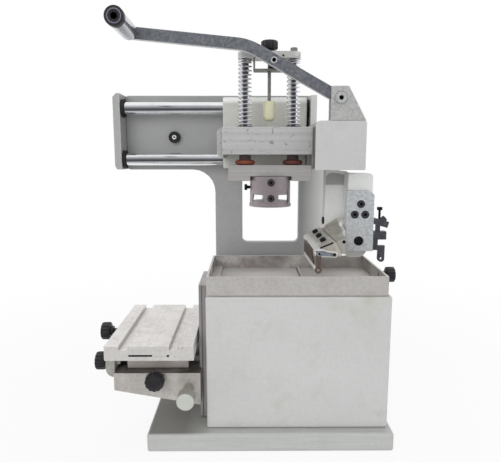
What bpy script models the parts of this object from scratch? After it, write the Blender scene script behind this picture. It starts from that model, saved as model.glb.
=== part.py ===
"""A hand lever pad printing machine, in metres, with +Z up.

The origin is the centre of the base plate's underside. +X is to the right of someone who
stands in front of the machine, and -Y points at that person.
"""

from math import acos, atan2, cos, dist, hypot, pi, radians, sin, tan

import bmesh
import bpy
from mathutils import Matrix, Vector

# Clearances and the fineness of round pieces
GAP = 0.0003
OVERRUN = 0.003
ROUND_SIDES = 32
SMALL_SIDES = 20
CORNER_STEPS = 6

# Base plate
BASE_WIDTH = 0.355
BASE_DEPTH = 0.260
BASE_THICK = 0.028
BASE_EDGE = 0.003

# Sheet metal housing that stands on the base
HOUSING_LEFT = -0.0923
HOUSING_FRONT = -0.115
HOUSING_WIDTH = 0.2632
HOUSING_DEPTH = 0.178
HOUSING_HEIGHT = 0.1977
HOUSING_WALL = 0.003
HOUSING_EDGE = 0.0025

# Ink tray on top of the housing
TRAY_INSET_LEFT = 0.0014
TRAY_INSET_FRONT = 0.002
TRAY_WIDTH = 0.2561
TRAY_DEPTH = 0.149
TRAY_HEIGHT = 0.0285
TRAY_WALL = 0.003
TRAY_FLOOR = 0.0072
TRAY_FOOT_HEIGHT = 0.002
TRAY_FOOT_INSET = 0.0015
TRAY_LEDGE_WIDTH = 0.013
TRAY_SEAT_WIDTH = 0.125
TRAY_RIB_WIDTH = 0.004
TRAY_RIB_HEIGHT = 0.0035

# Knob that clamps the tray
TRAY_KNOB_Y = -0.068
TRAY_KNOB_DROP = 0.0078
TRAY_KNOB_RADIUS = 0.0115
TRAY_KNOB_LENGTH = 0.013
TRAY_KNOB_STEM_RADIUS = 0.003
TRAY_KNOB_STEM_OUT = 0.0075

# Cast back plate: a column with a window, and a beam that reaches left
BACK_THICK = 0.014
BACK_LEFT = -0.0882
BACK_RIGHT = 0.1052
BACK_TOP_RISE = 0.2955
BACK_TOP_RIGHT = 0.077
BACK_SHOULDER_RISE = 0.235
BEAM_LEFT = -0.237
BEAM_BOTTOM_RISE = 0.173
BACK_FILLET = 0.038
BACK_CORNER = 0.005
WINDOW_LEFT = -0.0417
WINDOW_WIDTH = 0.0973
WINDOW_BOTTOM_RISE = 0.0472
WINDOW_HEIGHT = 0.1148
WINDOW_CORNER = 0.008

# Guide rods along X and the brackets that hold them
GUIDE_RADIUS = 0.010
GUIDE_Y = 0.040
GUIDE_LOW_RISE = 0.1905
GUIDE_HIGH_RISE = 0.2725
GUIDE_END_INSET = 0.0005
BRACKET_BOTTOM_RISE = 0.174
BRACKET_HEIGHT = 0.121
LEFT_BRACKET_THICK = 0.011
LEFT_BRACKET_FRONT = 0.0245
LEFT_BRACKET_CHAMFER = 0.006
RIGHT_BRACKET_LEFT = 0.0673
RIGHT_BRACKET_THICK = 0.010
RIGHT_BRACKET_FRONT = 0.014
RIGHT_BRACKET_TOP_DROP = 0.004
BUMPER_RADIUS = 0.0145
BUMPER_LEFT_LENGTH = 0.005
BUMPER_DISH = 0.0018
BUMPER_RIGHT_LENGTH = 0.0042

# Rubber stop on the face of the beam
STOP_BUMPER_X = -0.1556
STOP_BUMPER_BELOW_MIDDLE = 0.0045
STOP_BUMPER_RADIUS = 0.0095
STOP_BUMPER_LENGTH = 0.008
STOP_BUMPER_HOLE_RADIUS = 0.003

# Height rail on the housing's left side
RAIL_THICK = 0.0121
RAIL_FRONT = -0.085
RAIL_WIDTH = 0.087
RAIL_BOTTOM = 0.030
RAIL_RISE = 0.0096
RAIL_GROOVE_INSET = 0.0042
RAIL_GROOVE_WIDTH = 0.001
RAIL_GROOVE_DEPTH = 0.002

# Knee: the bracket that carries the work table and rides up and down the rail
STAGE_Y = -0.041
KNEE_LEFT = -0.228
KNEE_DEPTH = 0.128
KNEE_TOP = 0.109
KNEE_LEFT_DROP = 0.0263
KNEE_RIGHT_DROP = 0.049
KNEE_JAW_COVER = 0.0027
KNEE_KEY_WIDTH = 0.040
KNEE_KEY_HEIGHT = 0.008
FEED_BRACKET_THICK = 0.013
FEED_BRACKET_TOP = 0.133
FEED_BRACKET_BOTTOM = 0.100
FEED_BRACKET_WIDTH = 0.056
FEED_BRACKET_ROUND = 0.012

# Height knob, with the shaft whose pinion climbs the rail
HEIGHT_KNOB_X = -0.119
HEIGHT_KNOB_Z = 0.0865
HEIGHT_KNOB_RADIUS = 0.0125
HEIGHT_KNOB_LENGTH = 0.021
HEIGHT_NECK_RADIUS = 0.007
HEIGHT_NECK_LENGTH = 0.023
HEIGHT_SHAFT_RADIUS = 0.006
HEIGHT_SHAFT_DEPTH = 0.060

# Lock knob on the knee's front
LOCK_KNOB_X = -0.166
LOCK_KNOB_Z = 0.1025
LOCK_KNOB_RADIUS = 0.014
LOCK_KNOB_LENGTH = 0.016
LOCK_KNOB_NECK_RADIUS = 0.008
LOCK_KNOB_NECK_LENGTH = 0.003
LOCK_STEM_RADIUS = 0.004
LOCK_STEM_DEPTH = 0.022

# Cross slide that moves along X on the knee
SLIDE_LEFT = -0.212
SLIDE_WIDTH = 0.091
SLIDE_DEPTH = 0.092
SLIDE_HEIGHT = 0.0317
DOVETAIL_TOP_WIDTH = 0.057
DOVETAIL_FOOT_WIDTH = 0.049
DOVETAIL_HEIGHT = 0.009
DOVETAIL_ROOM = 0.002

# Feed screw and knob of the cross slide
FEED_Y = -0.070
FEED_Z = 0.1137
FEED_SCREW_RADIUS = 0.004
FEED_SCREW_REACH = 0.085
FEED_COLLAR_RADIUS = 0.008
FEED_COLLAR_LENGTH = 0.005
FEED_KNOB_OUT = 0.0038
FEED_KNOB_RADIUS = 0.0135
FEED_KNOB_LENGTH = 0.0182

# Work table with two grooves
TABLE_LEFT = -0.2317
TABLE_WIDTH = 0.1242
TABLE_DEPTH = 0.189
TABLE_THICK = 0.0215
TABLE_EDGE = 0.001
GROOVE_WIDTH = 0.014
GROOVE_DEPTH = 0.006
GROOVE_OFFSET = 0.035

# Lock knob on the work table's left edge
TABLE_KNOB_Z_DROP = 0.0125
TABLE_KNOB_OUT = 0.0117
TABLE_KNOB_RADIUS = 0.0135
TABLE_KNOB_LENGTH = 0.018
TABLE_STEM_DEPTH = 0.012

# Carriage block on the guide rods, and its bushes
CARRIAGE_LEFT = -0.072
CARRIAGE_WIDTH = 0.134
CARRIAGE_FRONT = 0.020
CARRIAGE_DEPTH = 0.040
CARRIAGE_BOTTOM_RISE = 0.176
CARRIAGE_HEIGHT = 0.112
CARRIAGE_ROUND = 0.008
BUSH_WALL = 0.004
RELIEF_HEIGHT = 0.026
RELIEF_DEPTH = 0.011

# Head block that guides the press rods
HEAD_LEFT = -0.0695
HEAD_WIDTH = 0.131
HEAD_FRONT = -0.065
HEAD_BOTTOM_RISE = 0.1976
HEAD_HEIGHT = 0.0394
HEAD_EDGE = 0.0012
CHEEK_THICK = 0.0078
CHEEK_ROUND = 0.007
CHEEK_LOW_DROP = 0.005
CHEEK_FRONT_INSET = 0.010
POCKET_RADIUS = 0.0098
POCKET_DEPTH = 0.0362

# Press rods, springs and the cross bar on top
PRESS_X = -0.001
PRESS_Y = -0.040
PRESS_ROD_RADIUS = 0.006
PRESS_ROD_PITCH = 0.071
CROSSBAR_BOTTOM_RISE = 0.3336
CROSSBAR_THICK = 0.0097
CROSSBAR_LENGTH = 0.0913
CROSSBAR_DEPTH = 0.026
SPRING_OUTER_RADIUS = 0.010
SPRING_WIRE_RADIUS = 0.00095
SPRING_TURNS = 16
SPRING_POINTS_A_TURN = 9
SPRING_SEAT_RADIUS = 0.0135
SPRING_SEAT_THICK = 0.0015
BAIL_OUTER_WIDTH = 0.047
BAIL_DEPTH = 0.018
BAIL_THICK = 0.0027
BAIL_CORNER = 0.002

# Stop screw between the press rods
STOP_KNOB_RADIUS = 0.0123
STOP_KNOB_LENGTH = 0.0125
STOP_KNOB_NECK_RADIUS = 0.007
STOP_KNOB_NECK_LENGTH = 0.0035
STOP_ROD_RADIUS = 0.0025
STOP_TIP_RADIUS = 0.009
STOP_TIP_LENGTH = 0.033
STOP_TIP_ABOVE_HEAD = 0.009
STOP_TIP_SOCKET = 0.010

# Pad plate, pad holder and the buffers on the rods
PAD_PLATE_WIDTH = 0.122
PAD_PLATE_DEPTH = 0.040
PAD_PLATE_THICK = 0.0229
PAD_CHANNEL_HEIGHT = 0.0068
BUFFER_RADIUS = 0.0138
BUFFER_DISC_HEIGHT = 0.0075
BUFFER_NECK_RADIUS = 0.0082
BUFFER_HEIGHT = 0.0147
HOLDER_X = 0.0012
HOLDER_RADIUS = 0.0302
HOLDER_FLANGE_RADIUS = 0.0314
HOLDER_FLANGE_HEIGHT = 0.004
HOLDER_HEIGHT = 0.0446
HOLDER_WINDOW_WIDTH = 0.0152
HOLDER_WINDOW_HEIGHT = 0.0105
HOLDER_WINDOW_OFFSET = 0.0185
HOLDER_WINDOW_RISE = 0.0075
THUMB_DROP = 0.0165
THUMB_HEAD_RADIUS = 0.0045
THUMB_HEAD_LENGTH = 0.005
THUMB_STEM_RADIUS = 0.002
THUMB_STEM_OUT = 0.0035
THUMB_STEM_DEPTH = 0.009

# Lever with its grip, roller and pivot
PIVOT_X = 0.0961
PIVOT_ABOVE_COVER = 0.0309
LEVER_BEND_X = -0.0322
LEVER_BEND_RISE = 0.3459
LEVER_BEND_RADIUS = 0.076
LEVER_END_X = -0.1935
LEVER_END_RISE = 0.362
LEVER_END_PAST_GRIP = 0.0055
LEVER_HEIGHT = 0.016
LEVER_THICK = 0.008
LEVER_FRONT = -0.079
GRIP_RADIUS = 0.0115
GRIP_LENGTH = 0.068
GRIP_CAP_RADIUS = 0.0122
GRIP_CAP_LENGTH = 0.009
ROLLER_RADIUS = 0.0062
ROLLER_ALONG_SHARE = 0.279
ROLLER_BELOW_MIDDLE = 0.0007
ROLLER_LENGTH = 0.0085
ROLLER_PIN_RADIUS = 0.004
ROLLER_PIN_HEAD_RADIUS = 0.0045
ROLLER_PIN_HEAD_LENGTH = 0.003

# Lever bracket on the side cover
FORK_FRONT = -0.085
FORK_DEPTH = 0.020
FORK_SLOT = 0.012
FORK_FLOOR = 0.004
FORK_LEFT = 0.0826
FORK_TOP_RIGHT = 0.1067
FORK_FOOT_RIGHT = 0.1321
FORK_TOP_ABOVE_PIVOT = 0.016
PIVOT_PIN_RADIUS = 0.005
PIVOT_HEAD_RADIUS = 0.007
PIVOT_HEAD_LENGTH = 0.003

# Side cover of the carriage
COVER_FRONT = -0.087
COVER_WIDTH = 0.0711
COVER_DEPTH = 0.099
COVER_BOTTOM_RISE = 0.176
COVER_HEIGHT = 0.068
COVER_WALL = 0.002
COVER_ROUND = 0.007

# Arm that hangs from the carriage and carries the scraper unit
ARM_LEFT = 0.089
ARM_WIDTH = 0.037
ARM_DEPTH = 0.0197
ARM_SHOULDER_RISE = 0.1725
ARM_NECK_WIDTH = 0.022
ARM_LEFT_BOTTOM_FROM_SHAFT = 0.0148
ARM_FOOT_LEFT = 0.110
ARM_FOOT_RIGHT = 0.143
ARM_FOOT_TOP_FROM_SHAFT = 0.0298
ARM_FOOT_BOTTOM_FROM_SHAFT = -0.0222
ARM_HEAD_BOTTOM_RISE = 0.1945
ARM_HEAD_FRONT_INSET = 0.004

# Cam housing and the block bolted to its front
CAM_LEFT = 0.118
CAM_WIDTH = 0.0374
CAM_DEPTH = 0.0344
CAM_BOTTOM_FROM_SHAFT = 0.0348
CAM_HEIGHT = 0.064
CAM_ROUND = 0.006
BLOCK_LEFT = 0.113
BLOCK_WIDTH = 0.040
BLOCK_DEPTH = 0.020
BLOCK_BOTTOM_FROM_SHAFT = -0.0156
BLOCK_HEIGHT = 0.0894
BLOCK_CHAMFER = 0.006

# Scraper shaft, and the carrier that swings on it
SHAFT_X = 0.1317
SHAFT_RISE = 0.0712
SHAFT_RADIUS = 0.0065
SHAFT_FRONT_OUT = 0.002
CARRIER_PLATE_RIGHT = -0.027
CARRIER_WEB_LEFT = -0.0295
CARRIER_WEB_TOP = 0.008
CARRIER_WEB_BOTTOM = -0.011
CARRIER_HUB_LEFT = -0.0225
CARRIER_TOP = 0.0283
CARRIER_RIGHT = 0.0175
CARRIER_BOTTOM = -0.0287
CARRIER_HEEL = -0.0105
CARRIER_ROUND = 0.013
CARRIER_CORNER = 0.006

# Blade clamp, blade and the strip at its near end, placed from the shaft
CLAMP_FRONT = -0.104
CLAMP_LENGTH = 0.136
CLAMP_LEFT = -0.0700
CLAMP_LEFT_TOP = -0.0067
CLAMP_PEAK = -0.0445
CLAMP_PEAK_TOP = 0.0068
CLAMP_SEAM = -0.0405
CLAMP_SEAM_TOP = 0.0048
CLAMP_RIGHT = -0.0310
CLAMP_RIGHT_TOP = -0.0122
CLAMP_BOTTOM = -0.0152
CLAMP_BEVEL = 0.0030
CLAMP_CORNER = 0.0020
BLADE_FRONT = -0.084
BLADE_LENGTH = 0.112
BLADE_THICK = 0.0015
BLADE_TOP = -0.0085
BLADE_HEIGHT = 0.0267
STRIP_TOP = -0.0075
STRIP_MIDDLE_INSET = 0.0048
STRIP_WIDTH = 0.0068
STRIP_LENGTH = 0.0320
STRIP_THICK = 0.003
STRIP_EYE_RADIUS = 0.0050
STRIP_HOLE_RADIUS = 0.0022

# Adjuster on the block's right side
ADJUSTER_FRONT = -0.064
ADJUSTER_DEPTH = 0.012
ADJUSTER_WIDTH = 0.0196
ADJUSTER_BOTTOM_FROM_SHAFT = 0.0018
ADJUSTER_BLOCK_HEIGHT = 0.012
ADJUSTER_POST_LEFT = 0.158
ADJUSTER_POST_WIDTH = 0.006
JAW_LENGTH = 0.021
JAW_HEIGHT = 0.009
JAW_X = 0.1653
JAW_FROM_SHAFT = 0.0263
JAW_DEPTH = 0.010
JAW_TILT = radians(16)
BOLT_X = 0.1630
BOLT_RADIUS = 0.0018
BOLT_HEAD_RADIUS = 0.004
BOLT_HEAD_LENGTH = 0.0045
BOLT_TOP_FROM_SHAFT = 0.0498
BOLT_LENGTH = 0.022
LINK_DEPTH = 0.006
LINK_STEM_LEFT = 0.1555
LINK_STEM_WIDTH = 0.006
LINK_BAR_TOP_FROM_SHAFT = -0.0077
LINK_BAR_HEIGHT = 0.007
LINK_EYE_X = 0.1672
LINK_EYE_FROM_SHAFT = -0.0277
LINK_EYE_RADIUS = 0.005
LINK_HOLE_RADIUS = 0.002

# Places that follow from the sizes above
BASE_TOP = BASE_THICK
HOUSING_BOTTOM = BASE_TOP + GAP
HOUSING_TOP = HOUSING_BOTTOM + HOUSING_HEIGHT
BACK_TOP = HOUSING_TOP + BACK_TOP_RISE
BACK_SHOULDER = HOUSING_TOP + BACK_SHOULDER_RISE
BEAM_BOTTOM = HOUSING_TOP + BEAM_BOTTOM_RISE
WINDOW_BOTTOM = HOUSING_TOP + WINDOW_BOTTOM_RISE
GUIDE_LOW_Z = HOUSING_TOP + GUIDE_LOW_RISE
GUIDE_HIGH_Z = HOUSING_TOP + GUIDE_HIGH_RISE
BRACKET_BOTTOM = HOUSING_TOP + BRACKET_BOTTOM_RISE
STOP_BUMPER_Z = (GUIDE_LOW_Z + GUIDE_HIGH_Z) / 2 - STOP_BUMPER_BELOW_MIDDLE
CARRIAGE_BOTTOM = HOUSING_TOP + CARRIAGE_BOTTOM_RISE
HEAD_BOTTOM = HOUSING_TOP + HEAD_BOTTOM_RISE
CROSSBAR_BOTTOM = HOUSING_TOP + CROSSBAR_BOTTOM_RISE
LEVER_BEND_Z = HOUSING_TOP + LEVER_BEND_RISE
LEVER_END_Z = HOUSING_TOP + LEVER_END_RISE
COVER_BOTTOM = HOUSING_TOP + COVER_BOTTOM_RISE
COVER_TOP = COVER_BOTTOM + COVER_HEIGHT
PIVOT_Z = COVER_TOP + PIVOT_ABOVE_COVER
FORK_TOP = PIVOT_Z + FORK_TOP_ABOVE_PIVOT
ARM_SHOULDER = HOUSING_TOP + ARM_SHOULDER_RISE
ARM_HEAD_BOTTOM = HOUSING_TOP + ARM_HEAD_BOTTOM_RISE
SHAFT_Z = HOUSING_TOP + SHAFT_RISE
ARM_LEFT_BOTTOM = SHAFT_Z + ARM_LEFT_BOTTOM_FROM_SHAFT
ARM_FOOT_TOP = SHAFT_Z + ARM_FOOT_TOP_FROM_SHAFT
ARM_FOOT_BOTTOM = SHAFT_Z + ARM_FOOT_BOTTOM_FROM_SHAFT
CAM_BOTTOM = SHAFT_Z + CAM_BOTTOM_FROM_SHAFT
BLOCK_BOTTOM = SHAFT_Z + BLOCK_BOTTOM_FROM_SHAFT
ADJUSTER_BOTTOM = SHAFT_Z + ADJUSTER_BOTTOM_FROM_SHAFT
JAW_Z = SHAFT_Z + JAW_FROM_SHAFT
BOLT_TOP = SHAFT_Z + BOLT_TOP_FROM_SHAFT
LINK_BAR_TOP = SHAFT_Z + LINK_BAR_TOP_FROM_SHAFT
LINK_EYE_Z = SHAFT_Z + LINK_EYE_FROM_SHAFT
RAIL_TOP = HOUSING_TOP + RAIL_RISE
HOUSING_RIGHT = HOUSING_LEFT + HOUSING_WIDTH
HOUSING_BACK = HOUSING_FRONT + HOUSING_DEPTH
TRAY_LEFT = HOUSING_LEFT + TRAY_INSET_LEFT
TRAY_RIGHT = TRAY_LEFT + TRAY_WIDTH
TRAY_FRONT = HOUSING_FRONT + TRAY_INSET_FRONT
TRAY_BACK = TRAY_FRONT + TRAY_DEPTH
TRAY_BOTTOM = HOUSING_TOP + GAP
TRAY_TOP = TRAY_BOTTOM + TRAY_HEIGHT
TRAY_SEAT_Z = TRAY_BOTTOM + TRAY_FLOOR
BACK_FRONT = HOUSING_BACK + GAP
BACK_REAR = BACK_FRONT + BACK_THICK
LEFT_BRACKET_RIGHT = BEAM_LEFT - GAP
LEFT_BRACKET_LEFT = LEFT_BRACKET_RIGHT - LEFT_BRACKET_THICK
RIGHT_BRACKET_RIGHT = RIGHT_BRACKET_LEFT + RIGHT_BRACKET_THICK
RAIL_RIGHT = HOUSING_LEFT - GAP
RAIL_LEFT = RAIL_RIGHT - RAIL_THICK
RAIL_BACK = RAIL_FRONT + RAIL_WIDTH
KNEE_RIGHT = RAIL_LEFT + KNEE_JAW_COVER
KNEE_FRONT = STAGE_Y - KNEE_DEPTH / 2
KNEE_BACK = STAGE_Y + KNEE_DEPTH / 2
SLIDE_BOTTOM = KNEE_TOP + GAP
SLIDE_TOP = SLIDE_BOTTOM + SLIDE_HEIGHT
TABLE_BOTTOM = SLIDE_TOP + GAP
TABLE_TOP = TABLE_BOTTOM + TABLE_THICK
TABLE_X = TABLE_LEFT + TABLE_WIDTH / 2
FEED_BRACKET_LEFT = KNEE_LEFT - GAP - FEED_BRACKET_THICK
CARRIAGE_RIGHT = CARRIAGE_LEFT + CARRIAGE_WIDTH
CARRIAGE_BACK = CARRIAGE_FRONT + CARRIAGE_DEPTH
CARRIAGE_TOP = CARRIAGE_BOTTOM + CARRIAGE_HEIGHT
BUSH_RADIUS = GUIDE_RADIUS + GAP + BUSH_WALL
HEAD_RIGHT = HEAD_LEFT + HEAD_WIDTH
HEAD_TOP = HEAD_BOTTOM + HEAD_HEIGHT
HEAD_BACK = CARRIAGE_FRONT - GAP
CROSSBAR_TOP = CROSSBAR_BOTTOM + CROSSBAR_THICK
STOP_TIP_BOTTOM = HEAD_TOP + STOP_TIP_ABOVE_HEAD
STOP_TIP_TOP = STOP_TIP_BOTTOM + STOP_TIP_LENGTH
STOP_KNOB_BOTTOM = CROSSBAR_TOP + GAP
PAD_PLATE_TOP = HEAD_BOTTOM - GAP - BUFFER_HEIGHT - GAP
PAD_PLATE_BOTTOM = PAD_PLATE_TOP - PAD_PLATE_THICK
PAD_CHANNEL_TOP = PAD_PLATE_BOTTOM + PAD_CHANNEL_HEIGHT
HOLDER_TOP = PAD_CHANNEL_TOP - GAP
HOLDER_BOTTOM = HOLDER_TOP - HOLDER_HEIGHT
LEVER_BACK = LEVER_FRONT + LEVER_THICK
ROLLER_X = LEVER_BEND_X + (PIVOT_X - LEVER_BEND_X) * ROLLER_ALONG_SHARE
ROLLER_Z = LEVER_BEND_Z + (PIVOT_Z - LEVER_BEND_Z) * ROLLER_ALONG_SHARE - ROLLER_BELOW_MIDDLE
BAIL_FRONT = PRESS_Y - CROSSBAR_DEPTH / 2
ROLLER_FRONT = BAIL_FRONT + GAP
BAIL_FLOOR_TOP = ROLLER_Z - ROLLER_RADIUS - GAP
BAIL_BOTTOM = BAIL_FLOOR_TOP - BAIL_THICK
COVER_LEFT = HEAD_RIGHT + GAP
COVER_RIGHT = COVER_LEFT + COVER_WIDTH
COVER_BACK = COVER_FRONT + COVER_DEPTH
FORK_BOTTOM = COVER_TOP + GAP
FORK_BACK = FORK_FRONT + FORK_DEPTH
ARM_BACK = COVER_BACK - COVER_WALL - GAP
ARM_FRONT = ARM_BACK - ARM_DEPTH
CAM_BACK = ARM_FRONT - GAP
CAM_FRONT = CAM_BACK - CAM_DEPTH
BLOCK_BACK = CAM_FRONT - GAP
BLOCK_FRONT = BLOCK_BACK - BLOCK_DEPTH
BLOCK_RIGHT = BLOCK_LEFT + BLOCK_WIDTH

# The scene starts empty, with one collection for the machine and one for its cutting tools
for old in list(bpy.data.objects):
    bpy.data.objects.remove(old)
PARTS = bpy.data.collections.new("pad_printing_machine")
TOOLS = bpy.data.collections.new("cutting_tools")
for group in (PARTS, TOOLS):
    bpy.context.scene.collection.children.link(group)


def finish(name, colour, roughness, metallic=0.0):
    """A plain material for one kind of surface."""
    material = bpy.data.materials.new(name)
    material.use_nodes = True
    shader = material.node_tree.nodes["Principled BSDF"]
    shader.inputs["Base Color"].default_value = (*colour, 1.0)
    shader.inputs["Roughness"].default_value = roughness
    shader.inputs["Metallic"].default_value = metallic
    return material


GREY_PAINT = finish("grey_paint", (0.60, 0.60, 0.58), 0.45)
CAST_ALUMINIUM = finish("cast_aluminium", (0.56, 0.55, 0.53), 0.5, 0.6)
MILLED_ALUMINIUM = finish("milled_aluminium", (0.72, 0.71, 0.68), 0.38, 0.8)
ZINC_PLATE = finish("zinc_plate", (0.50, 0.52, 0.54), 0.4, 0.8)
CHROME = finish("chrome", (0.82, 0.83, 0.85), 0.08, 1.0)
SPRING_STEEL = finish("spring_steel", (0.70, 0.71, 0.73), 0.25, 1.0)
DARK_STEEL = finish("dark_steel", (0.06, 0.06, 0.065), 0.45, 0.4)
BLACK_PLASTIC = finish("black_plastic", (0.02, 0.02, 0.023), 0.35)
BLACK_RUBBER = finish("black_rubber", (0.025, 0.025, 0.025), 0.7)
RED_RUBBER = finish("red_rubber", (0.20, 0.055, 0.04), 0.6)
NYLON = finish("nylon", (0.74, 0.70, 0.52), 0.35)
INKED_STEEL = finish("inked_steel", (0.16, 0.11, 0.09), 0.5, 0.3)


def add(name, mesh, material, place=None):
    """Put a mesh into the scene: a piece when it has a material, and a cutting tool when not."""
    thing = bpy.data.objects.new(name, mesh)
    if material:
        PARTS.objects.link(thing)
        mesh.materials.append(material)
    else:
        TOOLS.objects.link(thing)
        thing.hide_render = True
        thing.display_type = "WIRE"
    if place:
        thing.matrix_world = place
    return thing


def round_off(thing, width, angle=radians(40)):
    """Round the sharp edges of a piece a little."""
    bevel = thing.modifiers.new("edges", "BEVEL")
    bevel.width = width
    bevel.segments = 2
    bevel.limit_method = "ANGLE"
    bevel.angle_limit = angle
    return thing


def cut(thing, *tools):
    """Take the shape of each tool out of a piece."""
    for tool in tools:
        step = thing.modifiers.new("cut", "BOOLEAN")
        step.operation = "DIFFERENCE"
        step.object = tool
    return thing


def join(thing, *extras):
    """Make each extra shape one body with a piece."""
    for extra in extras:
        step = thing.modifiers.new("join", "BOOLEAN")
        step.operation = "UNION"
        step.object = extra
    return thing


def block(name, x, y, z, material=None):
    """A box between two limits along each axis."""
    low = Vector((x[0], y[0], z[0]))
    high = Vector((x[1], y[1], z[1]))
    shape = bmesh.new()
    bmesh.ops.create_cube(shape, size=1.0)
    bmesh.ops.scale(shape, vec=high - low, verts=shape.verts)
    mesh = bpy.data.meshes.new(name)
    shape.to_mesh(mesh)
    shape.free()
    return add(name, mesh, material, Matrix.Translation((low + high) / 2))


def facing(foot, direction):
    """A placement whose own +Z points along a direction from a foot point."""
    turn = Vector((0, 0, 1)).rotation_difference(Vector(direction))
    return Matrix.Translation(foot) @ turn.to_matrix().to_4x4()


def rod(name, start, end, radius, material=None, sides=ROUND_SIDES):
    """A straight round bar, or the bore for one, between two points."""
    start = Vector(start)
    end = Vector(end)
    shape = bmesh.new()
    bmesh.ops.create_cone(
        shape, cap_ends=True, segments=sides, radius1=radius, radius2=radius,
        depth=(end - start).length,
    )
    mesh = bpy.data.meshes.new(name)
    shape.to_mesh(mesh)
    shape.free()
    mesh.shade_smooth()
    mesh.set_sharp_from_angle(angle=radians(35))
    return add(name, mesh, material, facing((start + end) / 2, end - start))


def turned(name, foot, direction, profile, material=None, sides=ROUND_SIDES, closed=False):
    """A lathe shape: its (radius, height) profile runs down the outer side."""
    mesh = bpy.data.meshes.new(name)
    points = [(radius, 0.0, height) for radius, height in profile]
    edges = [(i, i + 1) for i in range(len(points) - 1)]
    if closed:
        edges.append((len(points) - 1, 0))
    mesh.from_pydata(points, edges, [])
    thing = add(name, mesh, material, facing(foot, direction))
    screw = thing.modifiers.new("lathe", "SCREW")
    screw.axis = "Z"
    screw.angle = 2 * pi
    screw.steps = sides
    screw.render_steps = sides
    screw.use_merge_vertices = True
    screw.merge_threshold = 0.00001
    screw.use_smooth_shade = True
    return thing


def ring(name, foot, direction, inner, outer, length, dish=0.0, material=None, sides=ROUND_SIDES):
    """A tube with a bore, whose far face may be dished."""
    profile = [(outer, length), (outer, 0), (inner, 0), (inner, length - dish)]
    return turned(name, foot, direction, profile, material, sides, closed=True)


def bend(before, here, after, radius, steps=CORNER_STEPS):
    """The points of an arc that rounds one corner of an outline."""
    here = Vector(here)
    back = (Vector(before) - here).normalized()
    ahead = (Vector(after) - here).normalized()
    half = back.angle(ahead) / 2
    centre = here + (back + ahead).normalized() * (radius / sin(half))
    first = here + back * (radius / tan(half)) - centre
    last = here + ahead * (radius / tan(half)) - centre
    start = atan2(first.y, first.x)
    sweep = (atan2(last.y, last.x) - start + pi) % (2 * pi) - pi
    angles = [start + sweep * i / steps for i in range(steps + 1)]
    return [(centre.x + radius * cos(a), centre.y + radius * sin(a)) for a in angles]


def rounded(corners):
    """The points of a closed outline, from corners of (across, up) or (across, up, radius)."""
    points = []
    for i, corner in enumerate(corners):
        if len(corner) == 2:
            points.append(corner)
            continue
        before = corners[i - 1][:2]
        after = corners[(i + 1) % len(corners)][:2]
        points += bend(before, corner[:2], after, corner[2])
    return points


def strap(path, width):
    """The outline of a flat bar of even width along a path, square at its start, round at its end."""
    path = [Vector(point) for point in path]
    sides = []
    for i, point in enumerate(path):
        along = path[min(i + 1, len(path) - 1)] - path[max(i - 1, 0)]
        sides.append(Vector((-along.y, along.x)).normalized() * (width / 2))
    left = [tuple(p + s) for p, s in zip(path, sides)]
    right = [tuple(p - s) for p, s in zip(path, sides)]
    end = path[-1]
    start_angle = atan2(sides[-1].y, sides[-1].x)
    angles = [start_angle - pi * i / (2 * CORNER_STEPS) for i in range(1, 2 * CORNER_STEPS)]
    cap = [(end.x + width / 2 * cos(a), end.y + width / 2 * sin(a)) for a in angles]
    return left + cap + right[::-1]


# How an outline's own across, up and thickness directions lie on the machine
SEEN_FROM_FRONT = Matrix(((1, 0, 0, 0), (0, 0, -1, 0), (0, 1, 0, 0), (0, 0, 0, 1)))
SEEN_FROM_ABOVE = Matrix.Identity(4)


def slab(name, outline, span, material=None, seen=SEEN_FROM_FRONT):
    """A flat outline made thick between two limits along the direction it is seen from."""
    curve = bpy.data.curves.new(name, "CURVE")
    curve.dimensions = "2D"
    curve.fill_mode = "BOTH"
    curve.extrude = abs(span[1] - span[0]) / 2
    line = curve.splines.new("POLY")
    line.points.add(len(outline) - 1)
    for point, (across, up) in zip(line.points, outline):
        point.co = (across, up, 0, 1)
    line.use_cyclic_u = True
    guide = bpy.data.objects.new(name + "_outline", curve)
    TOOLS.objects.link(guide)
    mesh = bpy.data.meshes.new_from_object(guide.evaluated_get(bpy.context.evaluated_depsgraph_get()))
    mesh.name = name
    bpy.data.objects.remove(guide)
    shape = bmesh.new()
    shape.from_mesh(mesh)
    bmesh.ops.remove_doubles(shape, verts=shape.verts, dist=0.00001)
    bmesh.ops.recalc_face_normals(shape, faces=shape.faces)
    shape.to_mesh(mesh)
    shape.free()
    mesh.materials.clear()
    middle = seen @ Vector((0, 0, 1)) * ((span[0] + span[1]) / 2)
    if seen == SEEN_FROM_FRONT:
        middle = -middle
    return add(name, mesh, material, Matrix.Translation(middle) @ seen)


def pivot(name, place, carrier=None):
    """An empty on a joint, which carries the pieces that the joint moves."""
    empty = bpy.data.objects.new(name, None)
    PARTS.objects.link(empty)
    empty.empty_display_size = GRIP_RADIUS
    empty.location = place
    bpy.context.view_layer.update()
    if carrier:
        hang(carrier, empty)
    return empty


def hang(carrier, *pieces):
    """Let a joint's empty carry these pieces."""
    bpy.context.view_layer.update()
    for piece in pieces:
        world = piece.matrix_world.copy()
        piece.parent = carrier
        piece.matrix_parent_inverse = carrier.matrix_world.inverted()
        piece.matrix_world = world
    bpy.context.view_layer.update()


def around(middle, size):
    """The limits of a width that is centred on a place."""
    return (middle - size / 2, middle + size / 2)


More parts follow.
